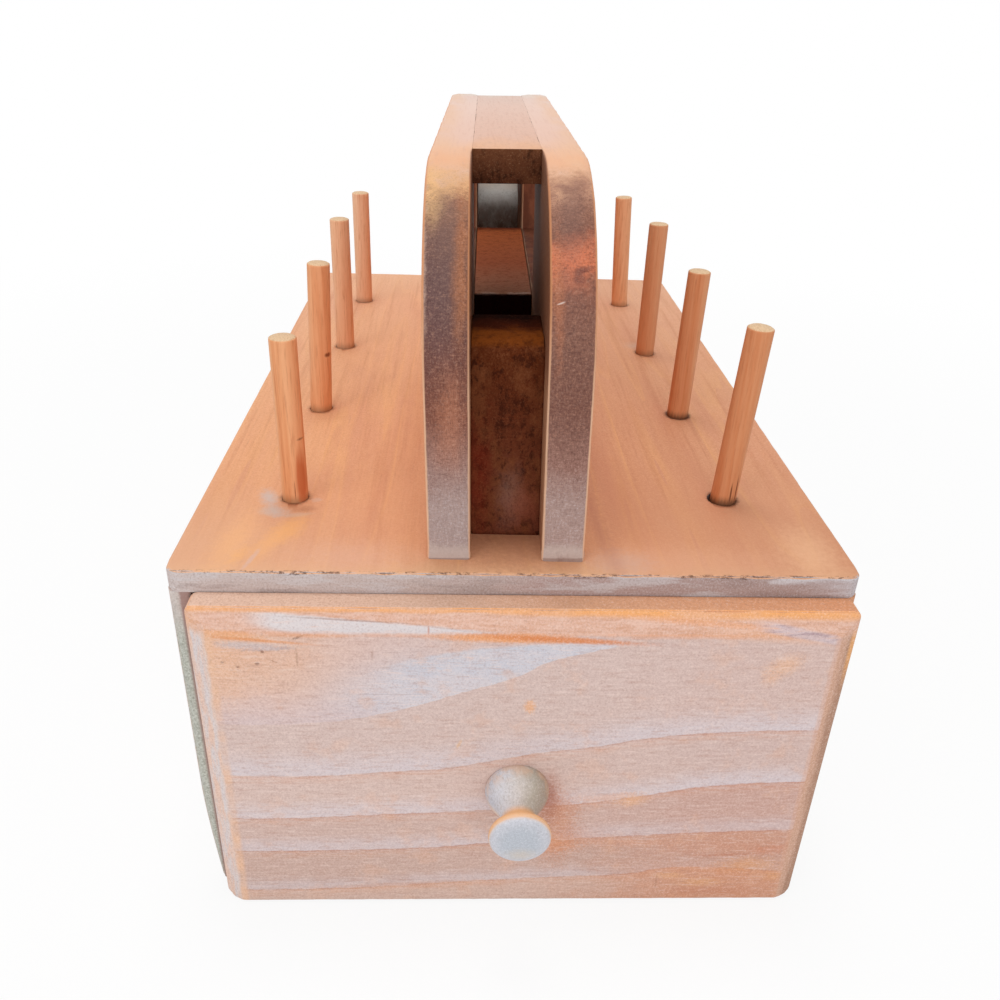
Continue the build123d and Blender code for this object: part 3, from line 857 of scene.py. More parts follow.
def makeDrawerFront():
    low, high = (np.array(corner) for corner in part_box("drawer_front"))
    side = drawerFront["bevelSide"] * mm
    top = drawerFront["bevelTop"] * mm
    depth = drawerFront["bevelDepth"] * mm

    def bevel(points, grid):
        # Leans the front's surface back towards its top and side edges.
        result = roundPlan(points, low, high, drawerFront["smallRadius"] * mm, (0, 2))
        rounder = (points[:, 0] < 0) & (points[:, 2] < 20 * mm)
        result[rounder] = roundPlan(points[rounder], low, high, drawerFront["cornerRadius"] * mm, (0, 2))
        sideways = np.minimum(grid[:, 0] - low[0], high[0] - grid[:, 0]) / side
        reach = np.minimum(sideways, (high[2] - grid[:, 2]) / top)
        waver = np.array([roughAt((p[0], 0, p[2]), 0.03, 9) for p in grid]) - 0.5
        share = 1 - reach / (1 + 0.12 * waver)
        soft = 0.12
        eased = np.where(share > -soft, (share + soft) ** 2 / (4 * soft), 0)
        lean = np.clip(np.where(share > soft, share - soft / 2, eased) / (1 - soft / 2), 0, 1)
        forward = 1 - np.clip((points[:, 1] - low[1]) / (high[1] - low[1]), 0, 1)
        result[:, 1] = points[:, 1] + depth * lean * forward
        return result

    wear = dict(caseWear, seed=12, chipDepth=0.35, rub=0.2)
    front = boardMesh(
        "drawerFront", low, high, (0.8, 1.4, 0.8), drawerFront["arris"], wear, None, bevel, squareHigh=(0, 1, 0),
    )
    dress(front, "drawer_front", "drawer", "washed_front", drawerFrontMaterial(drawerFront, low, high))
    print("drawer front done")


# Knob

knob = {
    "orange": (236, 176, 112),
    "segments": 72,
    # Radius and distance out from the drawer front, in millimetres
    "profile": (
        (9.2, 0.0), (9.45, 1.2), (9.15, 3.0), (8.3, 4.9), (6.9, 7.0), (5.65, 9.0), (4.95, 11.0), (4.8, 13.2),
        (5.2, 14.7), (6.6, 15.8), (8.0, 16.5), (8.72, 17.3), (8.86, 18.2), (8.45, 19.3), (6.9, 20.2), (3.5, 20.6),
        (1.0, 20.68),
    ),
}


def turned(name, profile, segments, place, axis):
    # A turned piece: profile is (radius, distance along the axis) from one end to the other.
    turn = Vector((0, 0, 1)).rotation_difference(Vector(axis)).to_matrix()
    vertices, faces = [], []
    for radius, along in profile:
        for step in range(segments):
            angle = 2 * pi * step / segments
            spot = turn @ Vector((radius * cos(angle), radius * sin(angle), along)) + Vector(place)
            vertices.append(spot)
    for row in range(len(profile) - 1):
        for step in range(segments):
            here, after = row * segments + step, row * segments + (step + 1) % segments
            faces.append((here, after, after + segments, here + segments))
    return meshObject(name, vertices, faces)


def smoothPath(points, count):
    # Catmull-Rom points through a list of 2D points.
    points = [np.array(p) for p in points]
    points = [2 * points[0] - points[1]] + points + [2 * points[-1] - points[-2]]
    result = []
    for a, b, c, d in zip(points, points[1:], points[2:], points[3:]):
        for step in range(count):
            t = step / count
            bend = (2 * a - 5 * b + 4 * c - d) * t * t + (3 * b - a - 3 * c + d) * t ** 3
            result.append(0.5 * (2 * b + (c - a) * t + bend))
    result.append(points[-2])
    return [tuple(p) for p in result]


def knobMaterial(values, centre):
    surface = Surface("knobWash")
    x, y, z = surface.spot
    grit = surface.speckle(1.3, 4, 0.65)
    patchy = surface.speckle(0.2, 3, 0.6)
    dx = x - centre[0] / mm
    dz = z - centre[2] / mm
    far = calc("SQRT", dx * dx + dz * dz)
    out = centre[1] / mm - y
    across = dx + (patchy - 0.5) * 6
    # The cone's wash, bluish white on the left to tan and brown on the right: partly its own colour, partly
    # painted shade on the side away from the light
    coneWashShaded = paints(across, -9, 9, ((-9, (196, 198, 208)), (-5, (216, 216, 222)), (0, (214, 206, 200)),
        (4, (186, 176, 160)), (9, (168, 146, 128))))
    lines = surface.speckle(1.6, 3, 0.8, (1, 0.1, 1))
    coneWashShaded = blend(fade(lines, 0.5, 0.68) * 0.45, coneWashShaded, (160, 148, 140))
    disc = blend(fade(far + patchy * 3, 5, 10.5), (184, 190, 199), (202, 202, 210))
    colour = blend(fade(out, 15, 18), coneWashShaded, disc)
    colour = sand(surface, colour, 0.45, (158, 152, 152), (238, 236, 240))
    base = fade(out, 6, 2) * fade(patchy, 0.4, 0.6)
    colour = blend(base * 0.5, colour, (228, 188, 156))
    under = fade(dz, 0, -4) * fade(dx, -3, -6) * fade(out, 13, 8)
    colour = blend(under * 0.6, colour, (236, 196, 160))
    rosy = fade(dz, 1, -4) * fade(dx, 4, 7) * fade(out, 13, 8)
    colour = blend(rosy * 0.6, colour, (196, 144, 120))
    neck = fade(out, 10.5, 13.5) * fade(out, 19.3, 18.7) * fade(patchy, 0.2, 0.4)
    colour = blend(neck * 0.85, colour, values["orange"])
    rim = fade(far, 8.0, 8.7) * fade(out, 17.6, 18.6) * fade(grit, 0.3, 0.55)
    colour = blend(rim * 0.4, colour, (236, 206, 184))
    rubbed = patch(dx, dz, (0.3, -4.6), (3.4, 1.9), 0.9, 0, (grit - 0.5) * 1.6)
    colour = blend(rubbed * fade(out, 19, 20) * 0.5, colour, (212, 194, 174))
    return surface.finish(colour, 0.6, grit, 0.12)


def makeKnob():
    low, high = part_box("drawer_knob")
    centre = ((low[0] + high[0]) / 2, high[1], (low[2] + high[2]) / 2)
    curve = smoothPath(knob["profile"], 6)
    profile = [(radius * mm, along * mm) for radius, along in curve]
    profile = [(1e-5, 0.0)] + profile + [(1e-5, profile[-1][1])]
    piece = turned("drawerKnob", profile, knob["segments"], centre, (0, -1, 0))
    dress(piece, "drawer_knob", "drawer", "knob_wash", knobMaterial(knob, centre))
    print("knob done")


# Handle: plates and blocks in the handle's own leaning frame

handle = {
    "x": -0.7,
    "lean": -1.15,
    "turn": -1.0,
    "pitch": -0.35,
    "length": 291.0,
    "height": 99.0,
    "cornerRadius": 50.0,
    "plate": 11.9,
    "gap": 19.6,
    "endInset": 14.1,
    "endLength": 25.4,
    "endHeight": 57.0,
    "centreLength": 107.0,
    "centreHeight": 48.2,
    "gripLength": 176.0,
    "gripThickness": 9.4,
    "holdRadius": 16.0,
    "arris": 0.9,
    "waver": 0.8,
}

blockFaces = {
    "handleFrontBlock": {
        "span": (0, 57), "foot": (112, 60, 42), "head": (92, 42, 18), "light": (124, 72, 44),
        "spot": (48, 18, 12), "glint": (150, 100, 70), "topDirt": (48, 18, 8), "topSpan": (-132, -105),
        # Painted shade: its top darkens to near black towards the back, standing in for the dark gap behind the
        # block
        "top": ((-132, (126, 64, 22)), (-123, (122, 62, 20)), (-117, (64, 22, 8)), (-109, (20, 4, 2))),
        "patches": (
            ((1, 12), (3, 7), 0, 0.6, (138, 104, 92)),
            ((-8, 15), (3, 16), 0, 0.5, (128, 40, 22)),
            ((5, 9), (4, 5), 0, 0.5, (150, 84, 62)),
        ),
    },
    "handleCentreBlock": {
        # Painted shade: the centre block's faces below its top are near black, deep between the plates under the
        # grip
        "span": (0, 48), "foot": (34, 10, 8), "head": (38, 10, 8), "light": (40, 14, 10),
        "spot": (20, 6, 5), "glint": (52, 22, 16), "topDirt": (128, 66, 44), "topSpan": (-54, 54),
        "top": (
            (-54, (214, 176, 156)), (-51.5, (178, 124, 98)), (-10, (182, 102, 70)), (44, (206, 112, 66)),
            (52, (130, 64, 36)),
        ),
    },
    "handleBackBlock": {
        # Its face white at the top fading to brown at the foot, and its top white at the front edge: a whitewash,
        # with the light that falls in from above painted into it
        "span": (36, 57), "foot": (150, 120, 100), "head": (255, 255, 250), "light": (246, 246, 240),
        "spot": (190, 186, 176), "glint": (250, 250, 244), "topDirt": (200, 196, 186), "topSpan": (105, 131),
        "top": ((105, (248, 248, 242)), (116, (214, 196, 180)), (122, (112, 64, 40)), (131, (96, 52, 32))),
        "rear": (112, 64, 42), "rearStain": (74, 34, 22),
    },
    "handleGripBlock": {
        "span": (89, 99), "foot": (84, 44, 28), "head": (118, 72, 48), "light": (116, 70, 46),
        "spot": (42, 20, 12), "glint": (190, 150, 116),
    },
}

# Shade of the plates' sawn rims at a few heights
plateStops = {
    "handleLeftPlate": (
        (0, (176, 156, 152)), (16, (172, 148, 142)), (28, (154, 118, 108)), (42, (122, 72, 58)),
        (58, (112, 68, 58)), (74, (106, 76, 70)), (84, (120, 86, 74)), (88, (130, 92, 76)),
        (90.5, (156, 112, 86)), (92, (208, 158, 114)), (94, (232, 180, 130)), (99, (226, 184, 156)),
    ),
    "handleRightPlate": (
        (0, (176, 148, 140)), (16, (170, 142, 134)), (28, (150, 110, 98)), (44, (122, 80, 68)),
        (62, (128, 86, 72)), (73, (140, 88, 70)), (84, (126, 78, 62)), (89, (146, 100, 80)),
        (92.5, (174, 126, 102)), (95, (206, 156, 124)), (97, (226, 178, 146)), (99, (226, 184, 160)),
    ),
}
platePatches = {
    # Spots on the sawn rim, across the plate and up it
    "handleLeftPlate": (
        ((-15, 41), (3.5, 10), 0, 0.55, (188, 122, 92)),
        ((-17.5, 71), (4.5, 12), 0, 0.5, (100, 76, 78)),
        ((-12, 78), (1.6, 14), 0, 0.75, (176, 110, 70)),
        ((-19.5, 91), (2.6, 4), 0, 0.5, (240, 192, 134)),
        ((-21.5, 76), (0.8, 12), 0, 0.5, (214, 180, 160)),
    ),
    "handleRightPlate": (
        ((15.5, 79), (7, 3.6), 0, 1.0, (232, 128, 86)),
        ((14, 75), (3.5, 1.6), 0, 0.6, (190, 112, 82)),
        ((18.2, 77.4), (2.2, 0.7), 10, 0.8, (112, 56, 46)),
        ((17.4, 75.4), (1.4, 1.0), 0, 0.7, (122, 62, 50)),
        ((12, 70), (1.3, 14), 0, 0.5, (190, 118, 82)),
        ((14, 88), (3.5, 6), 0, 0.4, (128, 88, 74)),
        ((12.6, 70.2), (0.9, 0.16), 20, 0.8, (224, 206, 196)),
    ),
}

handleFrame = (
    Matrix.Translation((handle["x"] * mm, 0, caseTop))
    @ Matrix.Rotation(radians(handle["pitch"]), 4, "X")
    @ Matrix.Rotation(radians(handle["lean"]), 4, "Y")
    @ Matrix.Rotation(radians(handle["turn"]), 4, "Z")
)


def intoHandle(points):
    # Moves local points into the handle's frame, with the feet kept level on the top.
    result = []
    for spot in points:
        placed = handleFrame @ Vector(spot)
        if spot[2] < 0.5 * mm:
            placed.z = caseTop + spot[2]
        result.append(tuple(placed))
    return np.array(result)


def arcPoints(centre, radius, start, end, count):
    return [
        (centre[0] + radius * cos(radians(start + (end - start) * i / count)),
         centre[1] + radius * sin(radians(start + (end - start) * i / count)))
        for i in range(count + 1)
    ]


def evenly(points, step):
    # The same closed outline with points about a step apart.
    result = []
    for a, b in zip(points, points[1:] + points[:1]):
        a, b = np.array(a), np.array(b)
        count = max(1, round(np.linalg.norm(b - a) / step))
        result += [tuple(a + (b - a) * i / count) for i in range(count)]
    return result


def inwards(points, sign):
    # The unit vectors that point into the material at each point of a closed outline.
    ring = np.array(points)
    along = np.roll(ring, -1, axis=0) - np.roll(ring, 1, axis=0)
    along /= np.maximum(np.linalg.norm(along, axis=1), 1e-9)[:, None]
    return np.stack([-along[:, 1], along[:, 0]], axis=1) * sign


def slabMesh(name, outline, hole, low, high, radius, seed, slotSide):
    # A sawn plate across X, from a closed outline in Y and Z with a hole. Its arrises are rolled and worn,
    # except along the grip block, which it meets flush on its slot side, 0 for low and 1 for high
    depth = high - low
    turns = [0, 0.08, 0.22, 0.42, 0.7, 1.0]
    rows = [(low, t, -1) for t in turns]
    rows += [(low + radius + (depth - 2 * radius) * t, 1.0, 0) for t in (0.2, 0.4, 0.6, 0.8)]
    rows += [(high, t, 1) for t in reversed(turns)]
    vertices, faces, caps = [], [], []
    for points in (outline, hole):
        into = inwards(points, 1)
        start = len(vertices)
        count = len(points)
        for x, turn, side in rows:
            for spot, way in zip(points, into):
                roll = radius
                if side and (side > 0) == bool(slotSide) and spot[1] > (handle["height"] - 1) * mm:
                    overGrip = handle["gripLength"] / 2 + 2 - abs(spot[0]) / mm
                    roll *= 1 - 0.96 * min(1, max(0, overGrip / 4))
                inset = roll * (1 - sqrt(max(0, 1 - (1 - turn) ** 2))) if side else 0
                across = x - side * roll * turn if side else x
                if side:
                    here = (0, *spot)
                    waver = 0.7 * roughAt(here, 0.012, seed + side) + 0.3 * roughAt(here, 0.004, seed + side)
                    across -= side * waver * turn * handle["waver"] * mm
                rough = 0.0
                if spot[1] > 1 * mm:
                    share = roll / radius if side else 0.3
                    coarse = roughAt((across * 0.4, *spot), 0.010, seed)
                    fine = roughAt((across, *spot), 0.003, seed)
                    rough = (0.55 * coarse + 0.3 * fine) * share * mm
                moved = np.array(spot) + way * (inset + rough)
                vertices.append((across, moved[0], moved[1]))
        for index in range(len(rows) - 1):
            for place in range(count):
                here = start + index * count + place
                after = start + index * count + (place + 1) % count
                faces.append((here, after, after + count, here + count))
        caps.append((start, count, start + (len(rows) - 1) * count))
    placed = intoHandle(vertices)
    mesh = bpy.data.meshes.new(name)
    mesh.from_pydata([tuple(v) for v in placed], [], faces)
    work = bmesh.new()
    work.from_mesh(mesh)
    work.verts.ensure_lookup_table()
    for side in (0, 2):
        rim = []
        for cap in caps:
            first, count = cap[side], cap[1]
            for place in range(count):
                ends = (first + place, first + (place + 1) % count)
                rim.append(work.edges.get([work.verts[end] for end in ends]))
        bmesh.ops.triangle_fill(work, edges=rim, use_beauty=True)
    bmesh.ops.recalc_face_normals(work, faces=work.faces)
    work.to_mesh(mesh)
    work.free()
    mesh.shade_smooth()
    mesh.set_sharp_from_angle(angle=radians(38))
    piece = bpy.data.objects.new(name, mesh)
    scene.collection.objects.link(piece)
    return piece


def softCorner(points, grid, corner, inward, radius):
    # Rounds one long arris across X; corner is its (y, z) and inward the signs that lead into the wood
    centre = np.array(corner) + np.array(inward) * radius
    away = grid[:, 1:] - centre
    near = ((away * np.array(inward)) < 0).all(axis=1)
    reach = np.max(np.abs(away), axis=1)
    length = np.maximum(np.linalg.norm(away, axis=1), 1e-9)
    result = points.copy()
    result[near, 1:] = (centre + away * (reach / length)[:, None])[near]
    return result


def plateOutline():
    half = handle["length"] / 2 * mm
    tall = handle["height"] * mm
    radius = handle["cornerRadius"] * mm
    points = [(-half, 0), (half, 0)]
    points += arcPoints((half - radius, tall - radius), radius, 0, 90, 40)
    points += arcPoints((-half + radius, tall - radius), radius, 90, 180, 40)
    return evenly(points, 1.6 * mm)


def holdOutline():
    half = handle["centreLength"] / 2 * mm
    low = handle["centreHeight"] * mm
    high = (handle["height"] - handle["gripThickness"]) * mm
    radius = handle["holdRadius"] * mm
    points = [(-half, low)] + arcPoints((-half + radius, high - radius), radius, 180, 90, 16)
    points += arcPoints((half - radius, high - radius), radius, 90, 0, 16) + [(half, low)]
    return evenly(points, 1.6 * mm)


def plateMaterial(name, stops, patches, seed):
    surface = Surface(name)
    lx, ly, lz = surface.within(handleFrame)
    grain = woodGrain(surface, "y", seed, 5)
    colour = blend(fade(grain["blotch"], 0.35, 0.7), (224, 158, 116), (234, 178, 138))
    colour = blend(grain["lateWood"] * 0.3, colour, (190, 120, 84))
    colour = blend(fade(grain["fibre"], 0.45, 0.7) * 0.25, colour, (190, 124, 88))
    weave = surface.speckle(2.3, 4, 0.9, (1, 1, 0.3), (seed, 1, 1)) * 0.5 + surface.speckle(2.3, 4, 0.9,
        (0.3, 1, 1), (seed, 5, 1)) * 0.5
    coarse = surface.speckle(0.16, 5, 0.65, (1, 1, 0.5), (seed, 0, 0))
    # Painted shade on the plates' inner faces, which look at each other across the narrow gap; heavier higher up
    inner = fade(abs(lx), 10.6, 10.0)
    innerFacePaintedShade = mixValue(fade(lz, 44, 56), 0.6, 0.9)
    colour = blend(inner * innerFacePaintedShade, colour, (100, 54, 34))
    colour = sand(surface, colour, 0.25, (176, 110, 78), (240, 198, 160))

    # The sawn rim follows the height: washed at the foot, dark and dirty above, worn bright at the shoulder
    lift = lz + (coarse - 0.5) * 16
    edge = paints(lift, 0, 100, stops)
    edge = daub(edge, lx, lz, patches, (coarse - 0.5) * 3.5)
    dirt = mixValue(fade(lz, 12, 40), 0.3, 0.66) * mixValue(fade(lz, 91, 95), 1.0, 0.3)
    edge = blend(fade(weave, 0.48, 0.62) * dirt, edge, (78, 48, 42))
    lightest = blend(fade(lz, 15, 38), (214, 204, 206), (198, 148, 120))
    edge = blend(fade(weave, 0.49, 0.37) * 0.46, edge, lightest)
    edge = sand(surface, edge, 0.3, (90, 56, 48), (196, 158, 140))
    foot = fade(lz + coarse * 6, 8.5, 5) * fade(coarse, 0.3, 0.5)
    edge = blend(foot * 0.6, edge, (208, 192, 184))
    edge = blend(fade(lz, 0.1, -0.3) * 0.5, edge, (120, 84, 70))
    centreLine = fade(abs(abs(lx) - 15.5), 4.5, 1.0)
    streak = centreLine * fade(lz, 98, 90) * fade(lz, 60, 80)
    edge = blend(streak * 0.28, edge, (112, 84, 78))
    wash = handleTopWash(surface, lx, ly)
    edge = blend(fade(lz, 95.5, 98.6) * fade(surface.facingZ, 0.4, 0.95), edge, wash)
    hold = fade(abs(ly), 56, 55) * fade(lz, 93, 92)
    edge = blend(hold, edge, blend(fade(coarse, 0.4, 0.62), (112, 62, 42), (142, 84, 58)))
    rim = 1.0 - fade(abs(surface.facingX), 0.35, 0.75)
    colour = blend(rim, colour, edge)
    onTop = fade(lz, 93, 97)
    sharp = fade(abs(surface.facingX), 0.3, 0.55) * fade(abs(surface.facingX), 0.97, 0.8)
    rubbing = 0.3 + coarse * 0.8 - onTop * 0.6
    worn = blend(fade(lz, 40, 75), (232, 190, 158), (206, 140, 98))
    colour = blend(sharp * rubbing, colour, worn)
    height = grain["fibre"] * 0.6 + weave * 0.8
    return surface.finish(colour, 0.62, height, 0.16)


def handleTopWash(surface, lx, ly):
    # Pale wash over the grip and the plates' tops, one continuous coat
    fine = surface.speckle(1.3, 4, 0.6, (1, 0.05, 1))
    cloud = surface.speckle(0.12, 3, 0.6, (1, 0.3, 1))
    wash = paints(ly + (cloud - 0.5) * 40, -110, 100, ((-110, (232, 176, 138)), (-86, (232, 184, 152)),
        (-60, (228, 190, 172)), (40, (230, 200, 186)), (78, (226, 200, 188)), (100, (222, 210, 200))))
    wash = blend(fade(fine, 0.48, 0.7) * 0.25, wash, (206, 158, 138))
    side = fade(abs(lx), 12, 20)
    return blend(side * fade(cloud, 0.3, 0.6) * 0.5, wash, (230, 184, 146))


def blockMaterial(name, faces, seed):
    # faces gives the block's shades at its foot and head, along its top unless that is washed, and behind
    surface = Surface(name)
    lx, ly, lz = surface.within(handleFrame)
    grit = surface.speckle(2.0, 4, 0.85)
    cloud = surface.speckle(0.14, 5, 0.7, (1, 1, 0.6), (seed * 11, 0, 0))
    stains = surface.speckle(0.34, 5, 0.75, (1, 1, 0.7), (seed * 4, 9, 0))
    scratch = fade(surface.speckle(0.55, 5, 0.75, (1, 1, 0.5), (seed * 5, 3, 0)), 0.54, 0.6)
    low, high = faces["span"]
    wander = (cloud - 0.5) * ((high - low) * 0.5)
    colour = paints(lz + wander, low, high, ((low, faces["foot"]), (high, faces["head"])))
    colour = blend(fade(cloud, 0.46, 0.62) * 0.55, colour, faces["light"])
    colour = blend(fade(stains, 0.52, 0.62) * 0.6, colour, faces["spot"])
    colour = blend(fade(stains, 0.46, 0.36) * 0.5, colour, faces["light"])
    colour = daub(colour, lx, lz, faces.get("patches", ()), (cloud - 0.5) * 3)
    washed = "top" not in faces
    if washed:
        upper = handleTopWash(surface, lx, ly)
    else:
        upper = paints(ly + wander * 0.6, *faces["topSpan"], faces["top"])
        upper = blend(fade(stains, 0.5, 0.64) * 0.45, upper, faces["topDirt"])
    colour = blend(fade(surface.facingZ, 0.6, 0.9), colour, upper)
    if "rear" in faces:
        rear = blend(fade(stains, 0.4, 0.6), faces["rear"], faces["rearStain"])
        colour = blend(fade(surface.facingY, 0.2, 0.7), colour, rear)
    speck = 1.0 - fade(surface.facingZ, 0.6, 0.9) * (0.75 if washed else 0.4)
    if "rear" in faces:
        speck = speck * fade(surface.facingY, 0.6, 0.1)
    colour = blend(fade(grit, 0.5, 0.7) * speck * 0.55, colour, faces["spot"])
    colour = blend(fade(grit, 0.46, 0.3) * speck * 0.4, colour, faces["glint"])
    colour = blend(scratch * speck * 0.3, colour, faces["spot"])
    return surface.finish(colour, 0.85, grit, 0.18, faces.get("gloss", 0.03))


def makeHandle():
    outline, hole = plateOutline(), holdOutline()
    half = handle["gap"] / 2 * mm
    thick = handle["plate"] * mm
    for side, low, seed, slotSide in (("left", -half - thick, 21, 1), ("right", half, 22, 0)):
        name = f"handle{side.capitalize()}Plate"
        plate = slabMesh(name, outline, hole, low, low + thick, handle["arris"] * mm, seed, slotSide)
        stain = plateMaterial(name + "Stain", plateStops[name], platePatches[name], seed)
        dress(plate, f"handle_{side}_plate", "case", "handle_plates", stain)
    endY = handle["length"] / 2 - handle["endInset"] - handle["endLength"] / 2
    top, end, centre = handle["height"], handle["endLength"], handle["centreLength"]
    blocks = (
        ("front", -endY, end, 0, handle["endHeight"], 6.0, "handle_blocks"),
        ("centre", 0, centre, 0, handle["centreHeight"], 0, "handle_blocks"),
        ("back", endY, end, 0, handle["endHeight"], 11.0, "handle_blocks"),
        ("grip", 0, handle["gripLength"], top - handle["gripThickness"], top, 0, "handle_plates"),
    )
    for seed, (place, along, length, low, high, softness, slotName) in enumerate(blocks):
        name = f"handle{place.capitalize()}Block"
        corner = ((along - length / 2) * mm, high * mm)

        def shape(points, grid):
            if softness:
                points = softCorner(points, grid, corner, (1, -1), softness * mm)
            return intoHandle(points)

        radius, rub = (0.06, 0.02) if place == "grip" else (0.5, 0.25)
        wear = dict(caseWear, seed=31 + seed, chipDepth=0.3, rub=rub)
        ends = (-half, corner[0], low * mm), (half, corner[0] + length * mm, high * mm)
        plain = (0, 1 if softness else 0, 0)
        block = boardMesh(name, *ends, (1.4, 1.4, 1.2), radius, wear, None, shape, plain)
        stain = blockMaterial(name + "Stain", blockFaces[name], seed)
        dress(block, f"handle_{place}_block", "case", slotName, stain)
    print("handle done")


# Spool pegs, each from the same node tree

peg = {
    "radius": 4.0,
    "ease": 0.7,
    "sides": 40,
    "rings": 160,
    "roughness": 0.12,
    "depth": 5.0,  # how far the dowel goes on below the top
    "wood": (228, 156, 108),
    "woodPale": (238, 176, 130),
    "woodDark": (186, 112, 70),
    "far": (240, 192, 158),
    "nearRight": (184, 112, 74),
    "endGrain": (228, 196, 158),
    # Grime at each peg's foot, with painted shade in the crease where it meets the top
    "footGrimeAndShade": (84, 50, 32),
    # Spot, half size and colour of the dents and cracks, and of painted shade down the right sides of the two
    # near left pegs
    "marks": (
        ((-62.3, -114, 140.3), (1.6, 2.5, 0.5), (92, 48, 28)),
        ((-64.3, -44, 141.4), (1.2, 2.5, 0.9), (120, 56, 30)),
        ((67.6, -111, 123.5), (0.25, 2.5, 3.5), (96, 46, 26)),
        ((69.4, -111, 124.5), (0.22, 2.5, 4.5), (104, 52, 30)),
        ((-65.8, -114, 123.5), (0.12, 2.5, 3.0), (150, 86, 54)),
        # Painted shade on the right sides of the two near left pegs, away from the light
        ((-63.4, -114, 127), (1.8, 3.0, 9.0), (196, 104, 60)),
        ((-62.8, -44, 132), (1.6, 3.0, 9.0), (206, 110, 64)),
    ),
}


def openTree(name, inputs):
    # A geometry node tree, and what each of its named inputs gives.
    tree = bpy.data.node_groups.new(name, "GeometryNodeTree")
    tree.interface.new_socket("Geometry", in_out="OUTPUT", socket_type="NodeSocketGeometry")
    for label, kind in inputs.items():
        tree.interface.new_socket(label, in_out="INPUT", socket_type="NodeSocket" + kind)
    given = tree.nodes.new("NodeGroupInput")
    return tree, {label: Signal(given.outputs[label]) for label in inputs}


def closeTree(tree, geometry, material):
    real = made(tree, "GeometryNodeRealizeInstances", {"Geometry": geometry})
    coated = made(tree, "GeometryNodeSetMaterial", {"Geometry": real, "Material": material})
    tree.links.new(coated.socket, tree.nodes.new("NodeGroupOutput").inputs[0])
    return tree


def pegTree():
    # A dowel between a foot and a height, its top eased, leaned into place.
    tree, given = openTree("spoolPegTree", {
        "Radius": "Float", "Length": "Float", "Ease": "Float", "Sides": "Int", "Roughness": "Float",
        "Seed": "Float", "Foot": "Vector", "Lean": "Rotation", "Material": "Material",
    })
    tip = made(tree, "ShaderNodeCombineXYZ", {"Z": given["Length"]})
    line = made(tree, "GeometryNodeCurvePrimitiveLine", {"End": tip})
    cut = made(tree, "GeometryNodeResampleCurve", {"Curve": line, "Count": peg["rings"]})
    along = made(tree, "GeometryNodeSplineParameter", None, "Length")
    share = calc("DIVIDE", given["Length"] - along, given["Ease"], clamp=True)
    roll = calc("SQRT", share * (2.0 - share))
    eased = given["Radius"] - given["Ease"] * (1.0 - roll)
    ring = made(tree, "GeometryNodeCurvePrimitiveCircle", {"Resolution": given["Sides"], "Radius": 1.0})
    inputs = {"Curve": cut, "Profile Curve": ring, "Scale": eased, "Fill Caps": True}
    tube = made(tree, "GeometryNodeCurveToMesh", inputs)
    place = made(tree, "GeometryNodeInputPosition")
    shift = made(tree, "ShaderNodeCombineXYZ", {"X": given["Seed"]})
    sample = made(tree, "ShaderNodeVectorMath", {0: place, 1: (300, 300, 60)}, operation="MULTIPLY")
    shifted = made(tree, "ShaderNodeVectorMath", {0: sample, 1: shift}, operation="ADD")
    bumps = speckle(shifted, 1.0, 3.0, 0.5)
    inputs = {0: made(tree, "GeometryNodeInputNormal"), "Scale": bumps * given["Roughness"] * -1.0}
    push = made(tree, "ShaderNodeVectorMath", inputs, operation="SCALE")
    moved = made(tree, "GeometryNodeSetPosition", {"Geometry": tube, "Offset": push})
    inputs = {"Geometry": moved, "Translation": given["Foot"], "Rotation": given["Lean"]}
    return closeTree(tree, made(tree, "GeometryNodeTransform", inputs), given["Material"])


def grown(name, tree, values, mesh=None):
    # A plain mesh object from a node tree and the values of its named inputs.
    piece = bpy.data.objects.new(name, mesh or bpy.data.meshes.new(name))
    scene.collection.objects.link(piece)
    modifier = piece.modifiers.new(name, "NODES")
    modifier.node_group = tree
    for item in tree.interface.items_tree:
        if item.in_out == "INPUT" and item.name in values:
            modifier[item.identifier] = values[item.name]
    settle(piece)
    return piece


